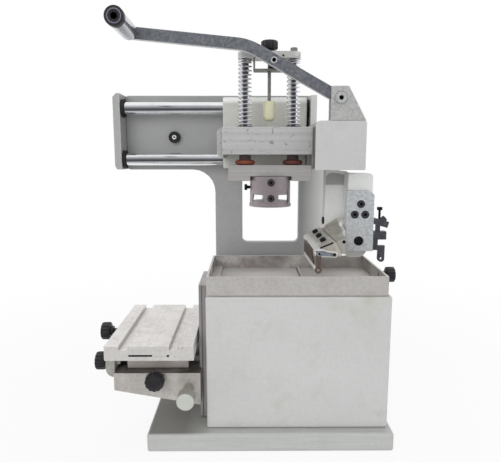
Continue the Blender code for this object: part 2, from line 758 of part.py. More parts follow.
def make_base():
    """The painted base plate and the sheet metal housing that stands on it."""
    base = block(
        "base_plate", around(0, BASE_WIDTH), around(0, BASE_DEPTH), (0, BASE_THICK), GREY_PAINT
    )
    round_off(base, BASE_EDGE)
    housing = block(
        "body_housing", (HOUSING_LEFT, HOUSING_RIGHT), (HOUSING_FRONT, HOUSING_BACK),
        (HOUSING_BOTTOM, HOUSING_TOP), GREY_PAINT,
    )
    round_off(housing, HOUSING_EDGE)
    hollow = block(
        "housing_hollow",
        (HOUSING_LEFT + HOUSING_WALL, HOUSING_RIGHT - HOUSING_WALL),
        (HOUSING_FRONT + HOUSING_WALL, HOUSING_BACK - HOUSING_WALL),
        (HOUSING_BOTTOM - OVERRUN, HOUSING_TOP - HOUSING_WALL),
    )
    cut(housing, hollow)


def make_tray():
    """The cast ink tray: a seat for the printing plate on the left, a reservoir on the right."""
    tray = block(
        "ink_tray", (TRAY_LEFT, TRAY_RIGHT), (TRAY_FRONT, TRAY_BACK),
        (TRAY_BOTTOM + TRAY_FOOT_HEIGHT, TRAY_TOP), CAST_ALUMINIUM,
    )
    foot = block(
        "tray_foot",
        (TRAY_LEFT + TRAY_FOOT_INSET, TRAY_RIGHT - TRAY_FOOT_INSET),
        (TRAY_FRONT + TRAY_FOOT_INSET, TRAY_BACK - TRAY_FOOT_INSET),
        (TRAY_BOTTOM, TRAY_SEAT_Z - TRAY_FOOT_HEIGHT),
    )
    join(tray, foot)
    left = TRAY_LEFT + TRAY_WALL
    right = TRAY_RIGHT - TRAY_WALL
    seat_left = left + TRAY_LEDGE_WIDTH
    seat_right = seat_left + TRAY_SEAT_WIDTH
    inside_y = (TRAY_FRONT + TRAY_WALL, TRAY_BACK - TRAY_WALL)
    step_z = TRAY_SEAT_Z + TRAY_RIB_HEIGHT
    above = TRAY_TOP + OVERRUN
    upper = block("tray_upper_hollow", (left, right), inside_y, (step_z, above))
    seat = block("tray_seat_hollow", (seat_left, seat_right), inside_y, (TRAY_SEAT_Z, above))
    well = block(
        "tray_well_hollow", (seat_right + TRAY_RIB_WIDTH, right), inside_y, (TRAY_SEAT_Z, above)
    )
    knob_z = TRAY_TOP - TRAY_KNOB_DROP
    bore = rod(
        "tray_bore", (right - OVERRUN, TRAY_KNOB_Y, knob_z),
        (TRAY_RIGHT + OVERRUN, TRAY_KNOB_Y, knob_z), TRAY_KNOB_STEM_RADIUS + GAP,
    )
    cut(tray, upper, seat, well, bore)
    bevel_top = TRAY_KNOB_RADIUS / 4
    stem_start = TRAY_WALL - GAP
    knob_start = stem_start + TRAY_KNOB_STEM_OUT
    knob_end = knob_start + TRAY_KNOB_LENGTH
    knob = turned(
        "tray_clamp_knob", (right + GAP, TRAY_KNOB_Y, knob_z), (1, 0, 0),
        [
            (0, knob_end),
            (TRAY_KNOB_RADIUS - bevel_top, knob_end),
            (TRAY_KNOB_RADIUS, knob_end - bevel_top),
            (TRAY_KNOB_RADIUS, knob_start + bevel_top),
            (TRAY_KNOB_RADIUS - bevel_top, knob_start),
            (TRAY_KNOB_STEM_RADIUS, knob_start),
            (TRAY_KNOB_STEM_RADIUS, 0),
            (0, 0),
        ],
        BLACK_PLASTIC,
    )
    hang(pivot("tray_clamp_axis", (TRAY_RIGHT, TRAY_KNOB_Y, knob_z)), knob)


def make_back():
    """The cast back plate, the end brackets, the guide rods and their rubber bumpers."""
    outline = rounded([
        (BACK_LEFT, HOUSING_BOTTOM),
        (BACK_LEFT, BEAM_BOTTOM, BACK_FILLET),
        (BEAM_LEFT, BEAM_BOTTOM, BACK_CORNER),
        (BEAM_LEFT, BACK_TOP, BACK_CORNER),
        (BACK_TOP_RIGHT, BACK_TOP, BACK_CORNER),
        (BACK_TOP_RIGHT, BACK_SHOULDER, BACK_CORNER),
        (BACK_RIGHT, BACK_SHOULDER, BACK_CORNER),
        (BACK_RIGHT, HOUSING_BOTTOM),
    ])
    back = slab("back_plate", outline, (BACK_FRONT, BACK_REAR), GREY_PAINT)
    window_right = WINDOW_LEFT + WINDOW_WIDTH
    window_top = WINDOW_BOTTOM + WINDOW_HEIGHT
    window = slab(
        "window",
        rounded([
            (WINDOW_LEFT, WINDOW_BOTTOM, WINDOW_CORNER),
            (window_right, WINDOW_BOTTOM, WINDOW_CORNER),
            (window_right, window_top, WINDOW_CORNER),
            (WINDOW_LEFT, window_top, WINDOW_CORNER),
        ]),
        (BACK_FRONT - OVERRUN, BACK_REAR + OVERRUN),
    )
    cut(back, window)
    bracket_top = BRACKET_BOTTOM + BRACKET_HEIGHT
    chamfered = [
        (LEFT_BRACKET_RIGHT, BRACKET_BOTTOM),
        (LEFT_BRACKET_RIGHT, bracket_top),
        (LEFT_BRACKET_LEFT + LEFT_BRACKET_CHAMFER, bracket_top),
        (LEFT_BRACKET_LEFT, bracket_top - LEFT_BRACKET_CHAMFER),
        (LEFT_BRACKET_LEFT, BRACKET_BOTTOM + LEFT_BRACKET_CHAMFER),
        (LEFT_BRACKET_LEFT + LEFT_BRACKET_CHAMFER / 2, BRACKET_BOTTOM),
    ]
    left = slab("left_end_bracket", chamfered, (LEFT_BRACKET_FRONT, BACK_REAR), GREY_PAINT)
    right = block(
        "right_end_bracket", (RIGHT_BRACKET_LEFT, RIGHT_BRACKET_RIGHT),
        (RIGHT_BRACKET_FRONT, BACK_FRONT - GAP),
        (BRACKET_BOTTOM, bracket_top - RIGHT_BRACKET_TOP_DROP), GREY_PAINT,
    )
    for level, z in (("lower", GUIDE_LOW_Z), ("upper", GUIDE_HIGH_Z)):
        rod(
            level + "_guide_rod", (LEFT_BRACKET_LEFT + GUIDE_END_INSET, GUIDE_Y, z),
            (RIGHT_BRACKET_RIGHT - GUIDE_END_INSET, GUIDE_Y, z), GUIDE_RADIUS, CHROME,
        )
        hole = rod(
            level + "_guide_hole", (LEFT_BRACKET_LEFT - OVERRUN, GUIDE_Y, z),
            (RIGHT_BRACKET_RIGHT + OVERRUN, GUIDE_Y, z), GUIDE_RADIUS + GAP,
        )
        cut(left, hole)
        cut(right, hole)
        ring(
            level + "_left_bumper", (LEFT_BRACKET_RIGHT + GAP, GUIDE_Y, z), (1, 0, 0),
            GUIDE_RADIUS + GAP, BUMPER_RADIUS, BUMPER_LEFT_LENGTH, BUMPER_DISH, BLACK_RUBBER,
        )
        ring(
            level + "_right_bumper", (RIGHT_BRACKET_LEFT - GAP, GUIDE_Y, z), (-1, 0, 0),
            GUIDE_RADIUS + GAP, BUMPER_RADIUS, BUMPER_RIGHT_LENGTH, material=BLACK_RUBBER,
        )
    ring(
        "beam_stop_bumper", (STOP_BUMPER_X, BACK_FRONT - GAP, STOP_BUMPER_Z), (0, -1, 0),
        STOP_BUMPER_HOLE_RADIUS, STOP_BUMPER_RADIUS, STOP_BUMPER_LENGTH, material=BLACK_RUBBER,
    )


def make_knee():
    """The height rail, the knee that rides it, and the knee's knobs."""
    rail = block(
        "height_rail", (RAIL_LEFT, RAIL_RIGHT), (RAIL_FRONT, RAIL_BACK),
        (RAIL_BOTTOM, RAIL_TOP), MILLED_ALUMINIUM,
    )
    groove_left = RAIL_LEFT + RAIL_GROOVE_INSET
    cut(
        rail,
        block(
            "rail_groove", (groove_left, groove_left + RAIL_GROOVE_WIDTH),
            (RAIL_FRONT - OVERRUN, RAIL_FRONT + RAIL_GROOVE_DEPTH),
            (RAIL_BOTTOM - OVERRUN, RAIL_TOP + OVERRUN),
        ),
    )
    knee = slab(
        "knee_bracket",
        [
            (KNEE_LEFT, KNEE_TOP),
            (KNEE_LEFT, KNEE_TOP - KNEE_LEFT_DROP),
            (KNEE_RIGHT, KNEE_TOP - KNEE_RIGHT_DROP),
            (KNEE_RIGHT, KNEE_TOP),
        ],
        (KNEE_FRONT, KNEE_BACK), CAST_ALUMINIUM,
    )
    key = block(
        "knee_key", (KNEE_LEFT, RAIL_LEFT - GAP), around(STAGE_Y, KNEE_KEY_WIDTH),
        (KNEE_TOP - KNEE_KEY_HEIGHT, KNEE_TOP + KNEE_KEY_HEIGHT),
    )
    join(knee, key)
    rail_room = block(
        "rail_room", (RAIL_LEFT - GAP, KNEE_RIGHT + OVERRUN),
        (RAIL_FRONT - GAP, RAIL_BACK + GAP),
        (KNEE_TOP - KNEE_RIGHT_DROP - OVERRUN, KNEE_TOP + KNEE_KEY_HEIGHT + OVERRUN),
    )
    collar_room = block(
        "collar_room", (KNEE_LEFT - OVERRUN, KNEE_LEFT + FEED_COLLAR_LENGTH + 2 * GAP),
        around(FEED_Y, 2 * (FEED_COLLAR_RADIUS + GAP)),
        (FEED_Z - FEED_COLLAR_RADIUS - GAP, KNEE_TOP + OVERRUN),
    )
    shaft_bore = rod(
        "shaft_bore", (HEIGHT_KNOB_X, KNEE_FRONT - OVERRUN, HEIGHT_KNOB_Z),
        (HEIGHT_KNOB_X, KNEE_FRONT + HEIGHT_SHAFT_DEPTH + GAP, HEIGHT_KNOB_Z),
        HEIGHT_SHAFT_RADIUS + GAP,
    )
    lock_bore = rod(
        "lock_bore", (LOCK_KNOB_X, KNEE_FRONT - OVERRUN, LOCK_KNOB_Z),
        (LOCK_KNOB_X, KNEE_FRONT + LOCK_STEM_DEPTH + GAP, LOCK_KNOB_Z), LOCK_STEM_RADIUS + GAP,
    )
    cut(knee, rail_room, collar_room, shaft_bore, lock_bore)
    bracket_right = KNEE_LEFT - GAP
    bracket = slab(
        "feed_bracket",
        rounded([
            (bracket_right, FEED_BRACKET_TOP),
            (FEED_BRACKET_LEFT, FEED_BRACKET_TOP),
            (FEED_BRACKET_LEFT, FEED_BRACKET_BOTTOM, FEED_BRACKET_ROUND),
            (bracket_right, FEED_BRACKET_BOTTOM),
        ]),
        around(FEED_Y, FEED_BRACKET_WIDTH), CAST_ALUMINIUM,
    )
    screw_bore = rod(
        "screw_bore", (FEED_BRACKET_LEFT - OVERRUN, FEED_Y, FEED_Z),
        (bracket_right + OVERRUN, FEED_Y, FEED_Z), FEED_SCREW_RADIUS + GAP,
    )
    cut(bracket, screw_bore)
    knee_joint = pivot("knee_joint", (RAIL_LEFT, STAGE_Y, KNEE_TOP))
    hang(knee_joint, knee, bracket)
    height_bevel = HEIGHT_KNOB_RADIUS / 8
    height_neck_end = HEIGHT_SHAFT_DEPTH + GAP + HEIGHT_NECK_LENGTH
    height_end = height_neck_end + HEIGHT_KNOB_LENGTH
    height_knob = turned(
        "height_knob", (HEIGHT_KNOB_X, KNEE_FRONT + HEIGHT_SHAFT_DEPTH, HEIGHT_KNOB_Z), (0, -1, 0),
        [
            (0, height_end),
            (HEIGHT_KNOB_RADIUS - height_bevel, height_end),
            (HEIGHT_KNOB_RADIUS, height_end - height_bevel),
            (HEIGHT_KNOB_RADIUS, height_neck_end + height_bevel),
            (HEIGHT_KNOB_RADIUS - height_bevel, height_neck_end),
            (HEIGHT_NECK_RADIUS, height_neck_end),
            (HEIGHT_NECK_RADIUS, HEIGHT_SHAFT_DEPTH + GAP),
            (HEIGHT_SHAFT_RADIUS, HEIGHT_SHAFT_DEPTH + GAP),
            (HEIGHT_SHAFT_RADIUS, 0),
            (0, 0),
        ],
        GREY_PAINT,
    )
    height_axis = pivot("height_knob_axis", (HEIGHT_KNOB_X, KNEE_FRONT, HEIGHT_KNOB_Z), knee_joint)
    hang(height_axis, height_knob)
    neck_end = LOCK_STEM_DEPTH + GAP + LOCK_KNOB_NECK_LENGTH
    lock_end = neck_end + LOCK_KNOB_LENGTH
    lock_bevel = LOCK_KNOB_RADIUS / 6
    lock_knob = turned(
        "knee_lock_knob", (LOCK_KNOB_X, KNEE_FRONT + LOCK_STEM_DEPTH, LOCK_KNOB_Z), (0, -1, 0),
        [
            (0, lock_end),
            (LOCK_KNOB_RADIUS - lock_bevel, lock_end),
            (LOCK_KNOB_RADIUS, lock_end - lock_bevel),
            (LOCK_KNOB_RADIUS, neck_end + lock_bevel),
            (LOCK_KNOB_RADIUS - lock_bevel, neck_end),
            (LOCK_KNOB_NECK_RADIUS, neck_end),
            (LOCK_KNOB_NECK_RADIUS, LOCK_STEM_DEPTH + GAP),
            (LOCK_STEM_RADIUS, LOCK_STEM_DEPTH + GAP),
            (LOCK_STEM_RADIUS, 0),
            (0, 0),
        ],
        BLACK_PLASTIC,
    )
    hang(pivot("knee_lock_axis", (LOCK_KNOB_X, KNEE_FRONT, LOCK_KNOB_Z), knee_joint), lock_knob)
    return knee_joint


def dovetail(name, bottom, height, extra, span, material=None):
    """The dovetail bar on the cross slide, or the slot for it when it is made larger and higher."""
    half_foot = DOVETAIL_FOOT_WIDTH / 2 + extra
    half_full = DOVETAIL_TOP_WIDTH / 2 + extra
    half_top = half_foot + (half_full - half_foot) * height / DOVETAIL_HEIGHT
    top = SLIDE_TOP + height
    outline = [
        (TABLE_X - half_foot, bottom),
        (TABLE_X + half_foot, bottom),
        (TABLE_X + half_foot, SLIDE_TOP),
        (TABLE_X + half_top, top),
        (TABLE_X - half_top, top),
        (TABLE_X - half_foot, SLIDE_TOP),
    ]
    return slab(name, outline, span, material)


def make_stage(knee_joint):
    """The cross slide with its feed screw, and the work table with its lock knob."""
    slide_y = around(STAGE_Y, SLIDE_DEPTH)
    slide = block(
        "cross_slide", (SLIDE_LEFT, SLIDE_LEFT + SLIDE_WIDTH), slide_y,
        (SLIDE_BOTTOM, SLIDE_TOP), MILLED_ALUMINIUM,
    )
    bar_height = DOVETAIL_HEIGHT - DOVETAIL_ROOM
    join(slide, dovetail("slide_dovetail", SLIDE_TOP - DOVETAIL_HEIGHT, bar_height, 0, slide_y))
    through_x = (SLIDE_LEFT - OVERRUN, SLIDE_LEFT + SLIDE_WIDTH + OVERRUN)
    key_slot = block(
        "key_slot", through_x, around(STAGE_Y, KNEE_KEY_WIDTH + 2 * GAP),
        (SLIDE_BOTTOM - OVERRUN, KNEE_TOP + KNEE_KEY_HEIGHT + GAP),
    )
    screw_slot = block(
        "screw_slot", through_x, around(FEED_Y, 2 * (FEED_SCREW_RADIUS + GAP)),
        (SLIDE_BOTTOM - OVERRUN, FEED_Z + FEED_SCREW_RADIUS + GAP),
    )
    cut(slide, key_slot, screw_slot)
    slide_joint = pivot("cross_feed_joint", (SLIDE_LEFT, FEED_Y, FEED_Z), knee_joint)
    hang(slide_joint, slide)

    collar_end = FEED_SCREW_REACH
    collar_start = collar_end - FEED_COLLAR_LENGTH
    knob_right = collar_end + GAP + FEED_BRACKET_THICK + FEED_KNOB_OUT
    knob_left = knob_right + FEED_KNOB_LENGTH
    feed_bevel = FEED_KNOB_RADIUS / 5
    feed_knob = turned(
        "feed_knob", (KNEE_LEFT + FEED_SCREW_REACH, FEED_Y, FEED_Z), (-1, 0, 0),
        [
            (0, knob_left),
            (FEED_KNOB_RADIUS - feed_bevel, knob_left),
            (FEED_KNOB_RADIUS, knob_left - feed_bevel),
            (FEED_KNOB_RADIUS, knob_right + feed_bevel),
            (FEED_KNOB_RADIUS - feed_bevel, knob_right),
            (FEED_SCREW_RADIUS, knob_right),
            (FEED_SCREW_RADIUS, collar_end),
            (FEED_COLLAR_RADIUS, collar_end),
            (FEED_COLLAR_RADIUS, collar_start),
            (FEED_SCREW_RADIUS, collar_start),
            (FEED_SCREW_RADIUS, 0),
            (0, 0),
        ],
        BLACK_PLASTIC, SMALL_SIDES,
    )
    hang(pivot("feed_knob_axis", (FEED_BRACKET_LEFT, FEED_Y, FEED_Z), knee_joint), feed_knob)

    table_y = around(STAGE_Y, TABLE_DEPTH)
    table_cut_y = (table_y[0] - OVERRUN, table_y[1] + OVERRUN)
    table = block(
        "work_table", (TABLE_LEFT, TABLE_LEFT + TABLE_WIDTH), table_y,
        (TABLE_BOTTOM, TABLE_TOP), MILLED_ALUMINIUM,
    )
    round_off(table, TABLE_EDGE)
    grooves = [
        block(
            "table_groove", around(TABLE_X + side * GROOVE_OFFSET, GROOVE_WIDTH), table_cut_y,
            (TABLE_TOP - GROOVE_DEPTH, TABLE_TOP + OVERRUN),
        )
        for side in (-1, 1)
    ]
    slot = dovetail("table_slot", SLIDE_TOP - OVERRUN, DOVETAIL_HEIGHT, GAP, table_cut_y)
    knob_z = TABLE_TOP - TABLE_KNOB_Z_DROP
    stem_bore = rod(
        "table_stem_bore", (TABLE_LEFT - OVERRUN, STAGE_Y, knob_z),
        (TABLE_LEFT + TABLE_STEM_DEPTH + GAP, STAGE_Y, knob_z), LOCK_STEM_RADIUS + GAP,
    )
    cut(table, *grooves, slot, stem_bore)
    table_joint = pivot("table_joint", (TABLE_X, STAGE_Y, SLIDE_TOP), slide_joint)
    hang(table_joint, table)
    knob_foot = TABLE_STEM_DEPTH + TABLE_KNOB_OUT
    knob_tip = knob_foot + TABLE_KNOB_LENGTH
    knob_bevel = TABLE_KNOB_RADIUS / 5
    table_knob = turned(
        "table_lock_knob", (TABLE_LEFT + TABLE_STEM_DEPTH, STAGE_Y, knob_z), (-1, 0, 0),
        [
            (0, knob_tip),
            (TABLE_KNOB_RADIUS - knob_bevel, knob_tip),
            (TABLE_KNOB_RADIUS, knob_tip - knob_bevel),
            (TABLE_KNOB_RADIUS, knob_foot + knob_bevel),
            (TABLE_KNOB_RADIUS - knob_bevel, knob_foot),
            (LOCK_STEM_RADIUS, knob_foot),
            (LOCK_STEM_RADIUS, 0),
            (0, 0),
        ],
        BLACK_PLASTIC,
    )
    hang(pivot("table_lock_axis", (TABLE_LEFT, STAGE_Y, knob_z), table_joint), table_knob)


def make_carriage():
    """The carriage block on its bushes, and the head block that guides the press rods."""
    carriage = block(
        "carriage_block", (CARRIAGE_LEFT, CARRIAGE_RIGHT), (CARRIAGE_FRONT, CARRIAGE_BACK),
        (CARRIAGE_BOTTOM, CARRIAGE_TOP), GREY_PAINT,
    )
    round_off(carriage, CARRIAGE_ROUND / 4)
    relief = block(
        "bumper_relief", (CARRIAGE_LEFT - OVERRUN, CARRIAGE_RIGHT + OVERRUN),
        (CARRIAGE_BACK - RELIEF_DEPTH, CARRIAGE_BACK + OVERRUN),
        around(STOP_BUMPER_Z, RELIEF_HEIGHT),
    )
    cut(carriage, relief)
    pieces = [carriage]
    for level, z in (("lower", GUIDE_LOW_Z), ("upper", GUIDE_HIGH_Z)):
        bore = rod(
            level + "_bush_bore", (CARRIAGE_LEFT - OVERRUN, GUIDE_Y, z),
            (CARRIAGE_RIGHT + OVERRUN, GUIDE_Y, z), BUSH_RADIUS + GAP,
        )
        cut(carriage, bore)
        pieces.append(ring(
            level + "_bush", (CARRIAGE_LEFT + GAP, GUIDE_Y, z), (1, 0, 0),
            GUIDE_RADIUS + GAP, BUSH_RADIUS, CARRIAGE_WIDTH - 2 * GAP, material=ZINC_PLATE,
        ))
    head = block(
        "head_block", (HEAD_LEFT, HEAD_RIGHT), (HEAD_FRONT, HEAD_BACK), (HEAD_BOTTOM, HEAD_TOP),
        MILLED_ALUMINIUM,
    )
    round_off(head, HEAD_EDGE)
    cheek_left = HEAD_LEFT - CHEEK_THICK
    cheek_bottom = HEAD_BOTTOM - CHEEK_LOW_DROP
    cheek = slab(
        "head_cheek",
        rounded([
            (HEAD_LEFT + HEAD_EDGE, cheek_bottom),
            (HEAD_LEFT + HEAD_EDGE, HEAD_TOP - HEAD_EDGE),
            (cheek_left, HEAD_TOP - HEAD_EDGE, CHEEK_ROUND),
            (cheek_left, cheek_bottom, CHEEK_ROUND),
        ]),
        (HEAD_FRONT + CHEEK_FRONT_INSET, HEAD_BACK - HEAD_EDGE),
    )
    join(head, cheek)
    rod_places = [PRESS_X + side * PRESS_ROD_PITCH / 2 for side in (-1, 1)]
    seats = [
        rod(
            "spring_seat", (x, PRESS_Y, HEAD_TOP - OVERRUN),
            (x, PRESS_Y, HEAD_TOP + SPRING_SEAT_THICK), SPRING_SEAT_RADIUS,
        )
        for x in rod_places
    ]
    join(head, *seats)
    bores = [
        rod(
            "press_rod_bore", (x, PRESS_Y, HEAD_BOTTOM - OVERRUN),
            (x, PRESS_Y, HEAD_TOP + SPRING_SEAT_THICK + OVERRUN), PRESS_ROD_RADIUS + GAP,
        )
        for x in rod_places
    ]
    pocket = rod(
        "tip_pocket", (PRESS_X, PRESS_Y, HEAD_TOP - POCKET_DEPTH),
        (PRESS_X, PRESS_Y, HEAD_TOP + OVERRUN), POCKET_RADIUS,
    )
    cut(head, *bores, pocket)
    pieces.append(head)
    carriage_joint = pivot("carriage_joint", (CARRIAGE_LEFT, GUIDE_Y, STOP_BUMPER_Z))
    hang(carriage_joint, *pieces)
    return carriage_joint


def spring(name, x):
    """An open coil spring with one close coil at each end, as one unbroken wire."""
    bottom = HEAD_TOP + SPRING_SEAT_THICK + GAP + SPRING_WIRE_RADIUS
    top = CROSSBAR_BOTTOM - GAP - SPRING_WIRE_RADIUS
    close = 3 * SPRING_WIRE_RADIUS
    coil_radius = SPRING_OUTER_RADIUS - SPRING_WIRE_RADIUS
    active_turns = SPRING_TURNS - 2
    pitch = (top - bottom - 2 * close) / active_turns
    points = []
    for i in range(SPRING_TURNS * SPRING_POINTS_A_TURN + 1):
        turns = i / SPRING_POINTS_A_TURN
        rise = close * min(turns, 1)
        rise += pitch * min(max(turns - 1, 0), active_turns)
        rise += close * max(turns - 1 - active_turns, 0)
        angle = 2 * pi * turns
        points.append(Vector((
            x + coil_radius * cos(angle), PRESS_Y + coil_radius * sin(angle), bottom + rise
        )))
    curve = bpy.data.curves.new(name, "CURVE")
    curve.dimensions = "3D"
    curve.bevel_depth = SPRING_WIRE_RADIUS
    curve.bevel_resolution = 1
    curve.use_fill_caps = True
    line = curve.splines.new("POLY")
    line.points.add(len(points) - 1)
    for spot, point in zip(line.points, points):
        spot.co = (*point, 1)
    skip = SPRING_POINTS_A_TURN // 2
    least = min(
        dist(points[i], points[j])
        for i in range(len(points)) for j in range(i + skip, len(points))
    )
    print(name, "least gap to itself in mm", round((least - 2 * SPRING_WIRE_RADIUS) * 1000, 2))
    guide = bpy.data.objects.new(name + "_line", curve)
    TOOLS.objects.link(guide)
    mesh = bpy.data.meshes.new_from_object(guide.evaluated_get(bpy.context.evaluated_depsgraph_get()))
    bpy.data.objects.remove(guide)
    mesh.name = name
    shape = bmesh.new()
    shape.from_mesh(mesh)
    bmesh.ops.remove_doubles(shape, verts=shape.verts, dist=0.00001)
    shape.to_mesh(mesh)
    shape.free()
    mesh.materials.clear()
    mesh.shade_smooth()
    return add(name, mesh, SPRING_STEEL)


def make_press(carriage_joint):
    """The sliding press head: rods, springs, cross bar, bail, pad plate and pad holder."""
    pieces = []
    for side, sign in (("left", -1), ("right", 1)):
        x = PRESS_X + sign * PRESS_ROD_PITCH / 2
        pieces.append(rod(
            side + "_press_rod", (x, PRESS_Y, PAD_PLATE_TOP + GAP),
            (x, PRESS_Y, CROSSBAR_BOTTOM - GAP), PRESS_ROD_RADIUS, CHROME,
        ))
        pieces.append(spring(side + "_spring", x))
        disc = BUFFER_DISC_HEIGHT
        pieces.append(turned(
            side + "_rubber_buffer", (x, PRESS_Y, PAD_PLATE_TOP + GAP), (0, 0, 1),
            [
                (BUFFER_NECK_RADIUS, BUFFER_HEIGHT),
                (BUFFER_NECK_RADIUS, disc),
                (BUFFER_RADIUS - disc / 4, disc),
                (BUFFER_RADIUS, disc * 3 / 4),
                (BUFFER_RADIUS, disc / 4),
                (BUFFER_RADIUS - disc / 4, 0),
                (PRESS_ROD_RADIUS + GAP, 0),
                (PRESS_ROD_RADIUS + GAP, BUFFER_HEIGHT),
            ],
            RED_RUBBER, closed=True,
        ))
    bar_x = around(PRESS_X, CROSSBAR_LENGTH)
    bar_y = around(PRESS_Y, CROSSBAR_DEPTH)
    end_round = CROSSBAR_DEPTH / 2 - GAP
    crossbar = slab(
        "crossbar",
        rounded([
            (bar_x[0], bar_y[0], end_round),
            (bar_x[1], bar_y[0], end_round),
            (bar_x[1], bar_y[1], end_round),
            (bar_x[0], bar_y[1], end_round),
        ]),
        (CROSSBAR_BOTTOM, CROSSBAR_TOP), MILLED_ALUMINIUM, SEEN_FROM_ABOVE,
    )
    stop_bore = rod(
        "stop_rod_bore", (PRESS_X, PRESS_Y, BAIL_BOTTOM - OVERRUN),
        (PRESS_X, PRESS_Y, CROSSBAR_TOP + OVERRUN), STOP_ROD_RADIUS + GAP, sides=SMALL_SIDES,
    )
    cut(crossbar, stop_bore)
    outer = around(PRESS_X, BAIL_OUTER_WIDTH)
    inner = around(PRESS_X, BAIL_OUTER_WIDTH - 2 * BAIL_THICK)
    bail_top = CROSSBAR_BOTTOM - GAP
    bail = slab(
        "bail",
        rounded([
            (outer[0], bail_top),
            (outer[0], BAIL_BOTTOM, BAIL_CORNER),
            (outer[1], BAIL_BOTTOM, BAIL_CORNER),
            (outer[1], bail_top),
            (inner[1], bail_top),
            (inner[1], BAIL_FLOOR_TOP),
            (inner[0], BAIL_FLOOR_TOP),
            (inner[0], bail_top),
        ]),
        (BAIL_FRONT, BAIL_FRONT + BAIL_DEPTH), ZINC_PLATE,
    )
    cut(bail, stop_bore)
    plate_y = around(PRESS_Y, PAD_PLATE_DEPTH)
    pad_plate = block(
        "pad_plate", around(0, PAD_PLATE_WIDTH), plate_y, (PAD_PLATE_BOTTOM, PAD_PLATE_TOP),
        MILLED_ALUMINIUM,
    )
    channel = block(
        "pad_channel", around(HOLDER_X, 2 * (HOLDER_RADIUS + GAP)),
        (plate_y[0] - OVERRUN, plate_y[1] + OVERRUN), (PAD_PLATE_BOTTOM - OVERRUN, PAD_CHANNEL_TOP),
    )
    cut(pad_plate, channel)
    flange = HOLDER_FLANGE_HEIGHT
    holder = turned(
        "pad_holder", (HOLDER_X, PRESS_Y, HOLDER_BOTTOM), (0, 0, 1),
        [
            (0, HOLDER_HEIGHT),
            (HOLDER_RADIUS, HOLDER_HEIGHT),
            (HOLDER_RADIUS, flange),
            (HOLDER_FLANGE_RADIUS, flange),
            (HOLDER_FLANGE_RADIUS, 0),
            (0, 0),
        ],
        MILLED_ALUMINIUM, sides=48,
    )
    window_bottom = HOLDER_BOTTOM + HOLDER_WINDOW_RISE
    for side in (-1, 1):
        window = block(
            "holder_window", around(HOLDER_X + side * HOLDER_WINDOW_OFFSET, HOLDER_WINDOW_WIDTH),
            around(PRESS_Y, 2 * HOLDER_FLANGE_RADIUS + OVERRUN),
            (window_bottom, window_bottom + HOLDER_WINDOW_HEIGHT),
        )
        cut(holder, window)
    thumb_z = HOLDER_TOP - THUMB_DROP
    thumb_foot = HOLDER_X - HOLDER_RADIUS + THUMB_STEM_DEPTH
    thumb_bore = rod(
        "thumb_bore", (thumb_foot + GAP, PRESS_Y, thumb_z),
        (HOLDER_X - HOLDER_RADIUS - OVERRUN, PRESS_Y, thumb_z), THUMB_STEM_RADIUS + GAP,
        sides=SMALL_SIDES,
    )
    cut(holder, thumb_bore)
    pieces += [crossbar, bail, pad_plate, holder]
    press_joint = pivot("press_joint", (PRESS_X, PRESS_Y, HEAD_TOP), carriage_joint)
    hang(press_joint, *pieces)
    stem = THUMB_STEM_DEPTH + THUMB_STEM_OUT
    head = stem + THUMB_HEAD_LENGTH
    thumb = turned(
        "pad_thumb_screw", (thumb_foot, PRESS_Y, thumb_z), (-1, 0, 0),
        [
            (0, head), (THUMB_HEAD_RADIUS, head), (THUMB_HEAD_RADIUS, stem),
            (THUMB_STEM_RADIUS, stem), (THUMB_STEM_RADIUS, 0), (0, 0),
        ],
        BLACK_PLASTIC, SMALL_SIDES,
    )
    thumb_place = (HOLDER_X - HOLDER_RADIUS, PRESS_Y, thumb_z)
    hang(pivot("pad_thumb_axis", thumb_place, press_joint), thumb)
    make_stop(press_joint)
    return press_joint


def make_stop(press_joint):
    """The stop screw: a knob with its rod, and the nylon tip that meets the head block."""
    socket = STOP_ROD_RADIUS + GAP
    nose = STOP_TIP_RADIUS / 2
    arc = bend(
        (STOP_TIP_RADIUS, STOP_TIP_LENGTH), (STOP_TIP_RADIUS, 0), (0, 0), nose
    )
    tip = turned(
        "stop_tip", (PRESS_X, PRESS_Y, STOP_TIP_BOTTOM), (0, 0, 1),
        [
            (0, STOP_TIP_LENGTH - STOP_TIP_SOCKET),
            (socket, STOP_TIP_LENGTH - STOP_TIP_SOCKET),
            (socket, STOP_TIP_LENGTH),
            (STOP_TIP_RADIUS, STOP_TIP_LENGTH),
            *arc,
            (0, 0),
        ],
        NYLON, SMALL_SIDES,
    )
    tip_joint = pivot("stop_tip_joint", (PRESS_X, PRESS_Y, STOP_TIP_BOTTOM), press_joint)
    hang(tip_joint, tip)
    rod_foot = STOP_TIP_TOP - STOP_TIP_SOCKET + GAP
    neck = STOP_KNOB_BOTTOM - rod_foot
    knob = neck + STOP_KNOB_NECK_LENGTH
    top = knob + STOP_KNOB_LENGTH
    edge = STOP_KNOB_RADIUS / 6
    screw = turned(
        "stop_knob", (PRESS_X, PRESS_Y, rod_foot), (0, 0, 1),
        [
            (0, top),
            (STOP_KNOB_RADIUS - edge, top),
            (STOP_KNOB_RADIUS, top - edge),
            (STOP_KNOB_RADIUS, knob + edge),
            (STOP_KNOB_RADIUS - edge, knob),
            (STOP_KNOB_NECK_RADIUS, knob),
            (STOP_KNOB_NECK_RADIUS, neck),
            (STOP_ROD_RADIUS, neck),
            (STOP_ROD_RADIUS, 0),
            (0, 0),
        ],
        BLACK_PLASTIC, SMALL_SIDES,
    )
    knob_axis = pivot("stop_knob_axis", (PRESS_X, PRESS_Y, STOP_KNOB_BOTTOM), tip_joint)
    hang(knob_axis, screw)


